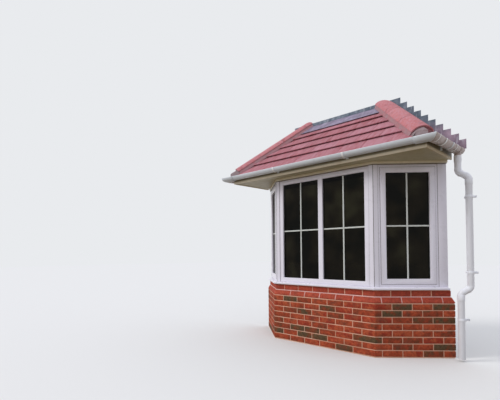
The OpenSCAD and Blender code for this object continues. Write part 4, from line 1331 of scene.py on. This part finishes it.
# Each band has its place, its turn, its width and how much further out it lies.
bands = [(side_line, -OUTLET_Y, quarter, 0.012, 0)]
for sign in (1, -1):
    bands += [(sign * STRAP_X, front_line, across, 0.024, 0),
              (sign * side_line, -STRAP_Y, quarter, 0.030, 0),
              (sign * side_line, -CORNER_Y, quarter, 0.012, FULLER)]
rims = [half_band((x, y, GUTTER_Z), turn, SOCKET_R - 0.0005 + out, width, 0.003)
        for x, y, turn, width, out in bands]
for rim in rims:
    smooth(rim, 30)
hand_over(put_together("fitting_rims", rims), [fitting_plastic], "rainwater")

# %% Pipes, bends and clips
dress("rainwater", pipe_plastic, ("pipe_bend_upper", "upper_bend", 0),
      ("pipe_main", "main_pipe", 0.001), ("pipe_bend_lower", "lower_bend", 0),
      ("pipe_low", "lower_pipe", 0.001), ("pipe_clips", "clips", 0.001))

# %% [markdown]
# ## What stands behind
#
# The bay is cut off flat at its back, so the inner block leaf, the floor slab, the roof timbers
# and the ceiling show from behind and faintly through the panes. They are plain building materials,
# and one finish with other colours and grain serves the blocks, the slab and the plaster.

# %% Finishes for blocks, slab, timber and plaster
def dusty(name, low, high, grain, depth, roughness):
    stuff = Finish(name, roughness=roughness, specular=0.25)
    fine = stuff.noise(grain, 4.0)
    base = stuff.ramp(fine, (0.3, low), (0.7, high))
    cloud = stuff.mix(stuff.level(stuff.noise(0.3, 3.0), 0.4, 0.7, 0.0, 0.4), base, low)
    return stuff.finish(cloud, relief=stuff.bump(fine, depth, 0.9))


block_stuff = dusty("block", colour(128, 126, 120), colour(160, 157, 150), 0.004, 0.0015, 0.95)
slab_stuff = dusty("slab_concrete", colour(124, 122, 118), colour(150, 148, 142), 0.006, 0.001, 0.9)
plaster_stuff = dusty("plaster", colour(222, 220, 212), colour(232, 230, 224), 0.01, 0.0004, 0.85)

wood = Finish("roof_timber", roughness=0.75, specular=0.3)
rings = wood.noise(0.02, 5.0, wood.stretched(1.0, 0.12, 1.0))
sawn = wood.ramp(rings, (0.3, colour(176, 136, 88)), (0.5, colour(204, 168, 118)),
                 (0.7, colour(190, 150, 100)))
timber = wood.finish(sawn, relief=wood.bump(rings, 0.001, 0.7))

dress("block", block_stuff, ("inner_leaf", "block_leaf", 0.003))
dress("block", slab_stuff, ("floor_slab", "slab", 0.004))
dress("board", plaster_stuff, ("ceiling_board", "ceiling", 0.001))
dress("timber", timber, ("head_beam", "beam", 0.003), ("ledger", "wall_board", 0.003))
dress("timber", timber, ("rafters", "rafter_set", 0.003), flat=None)
dress("timber", timber, ("hip_rafters", "hip_rafter_set", 0.003))
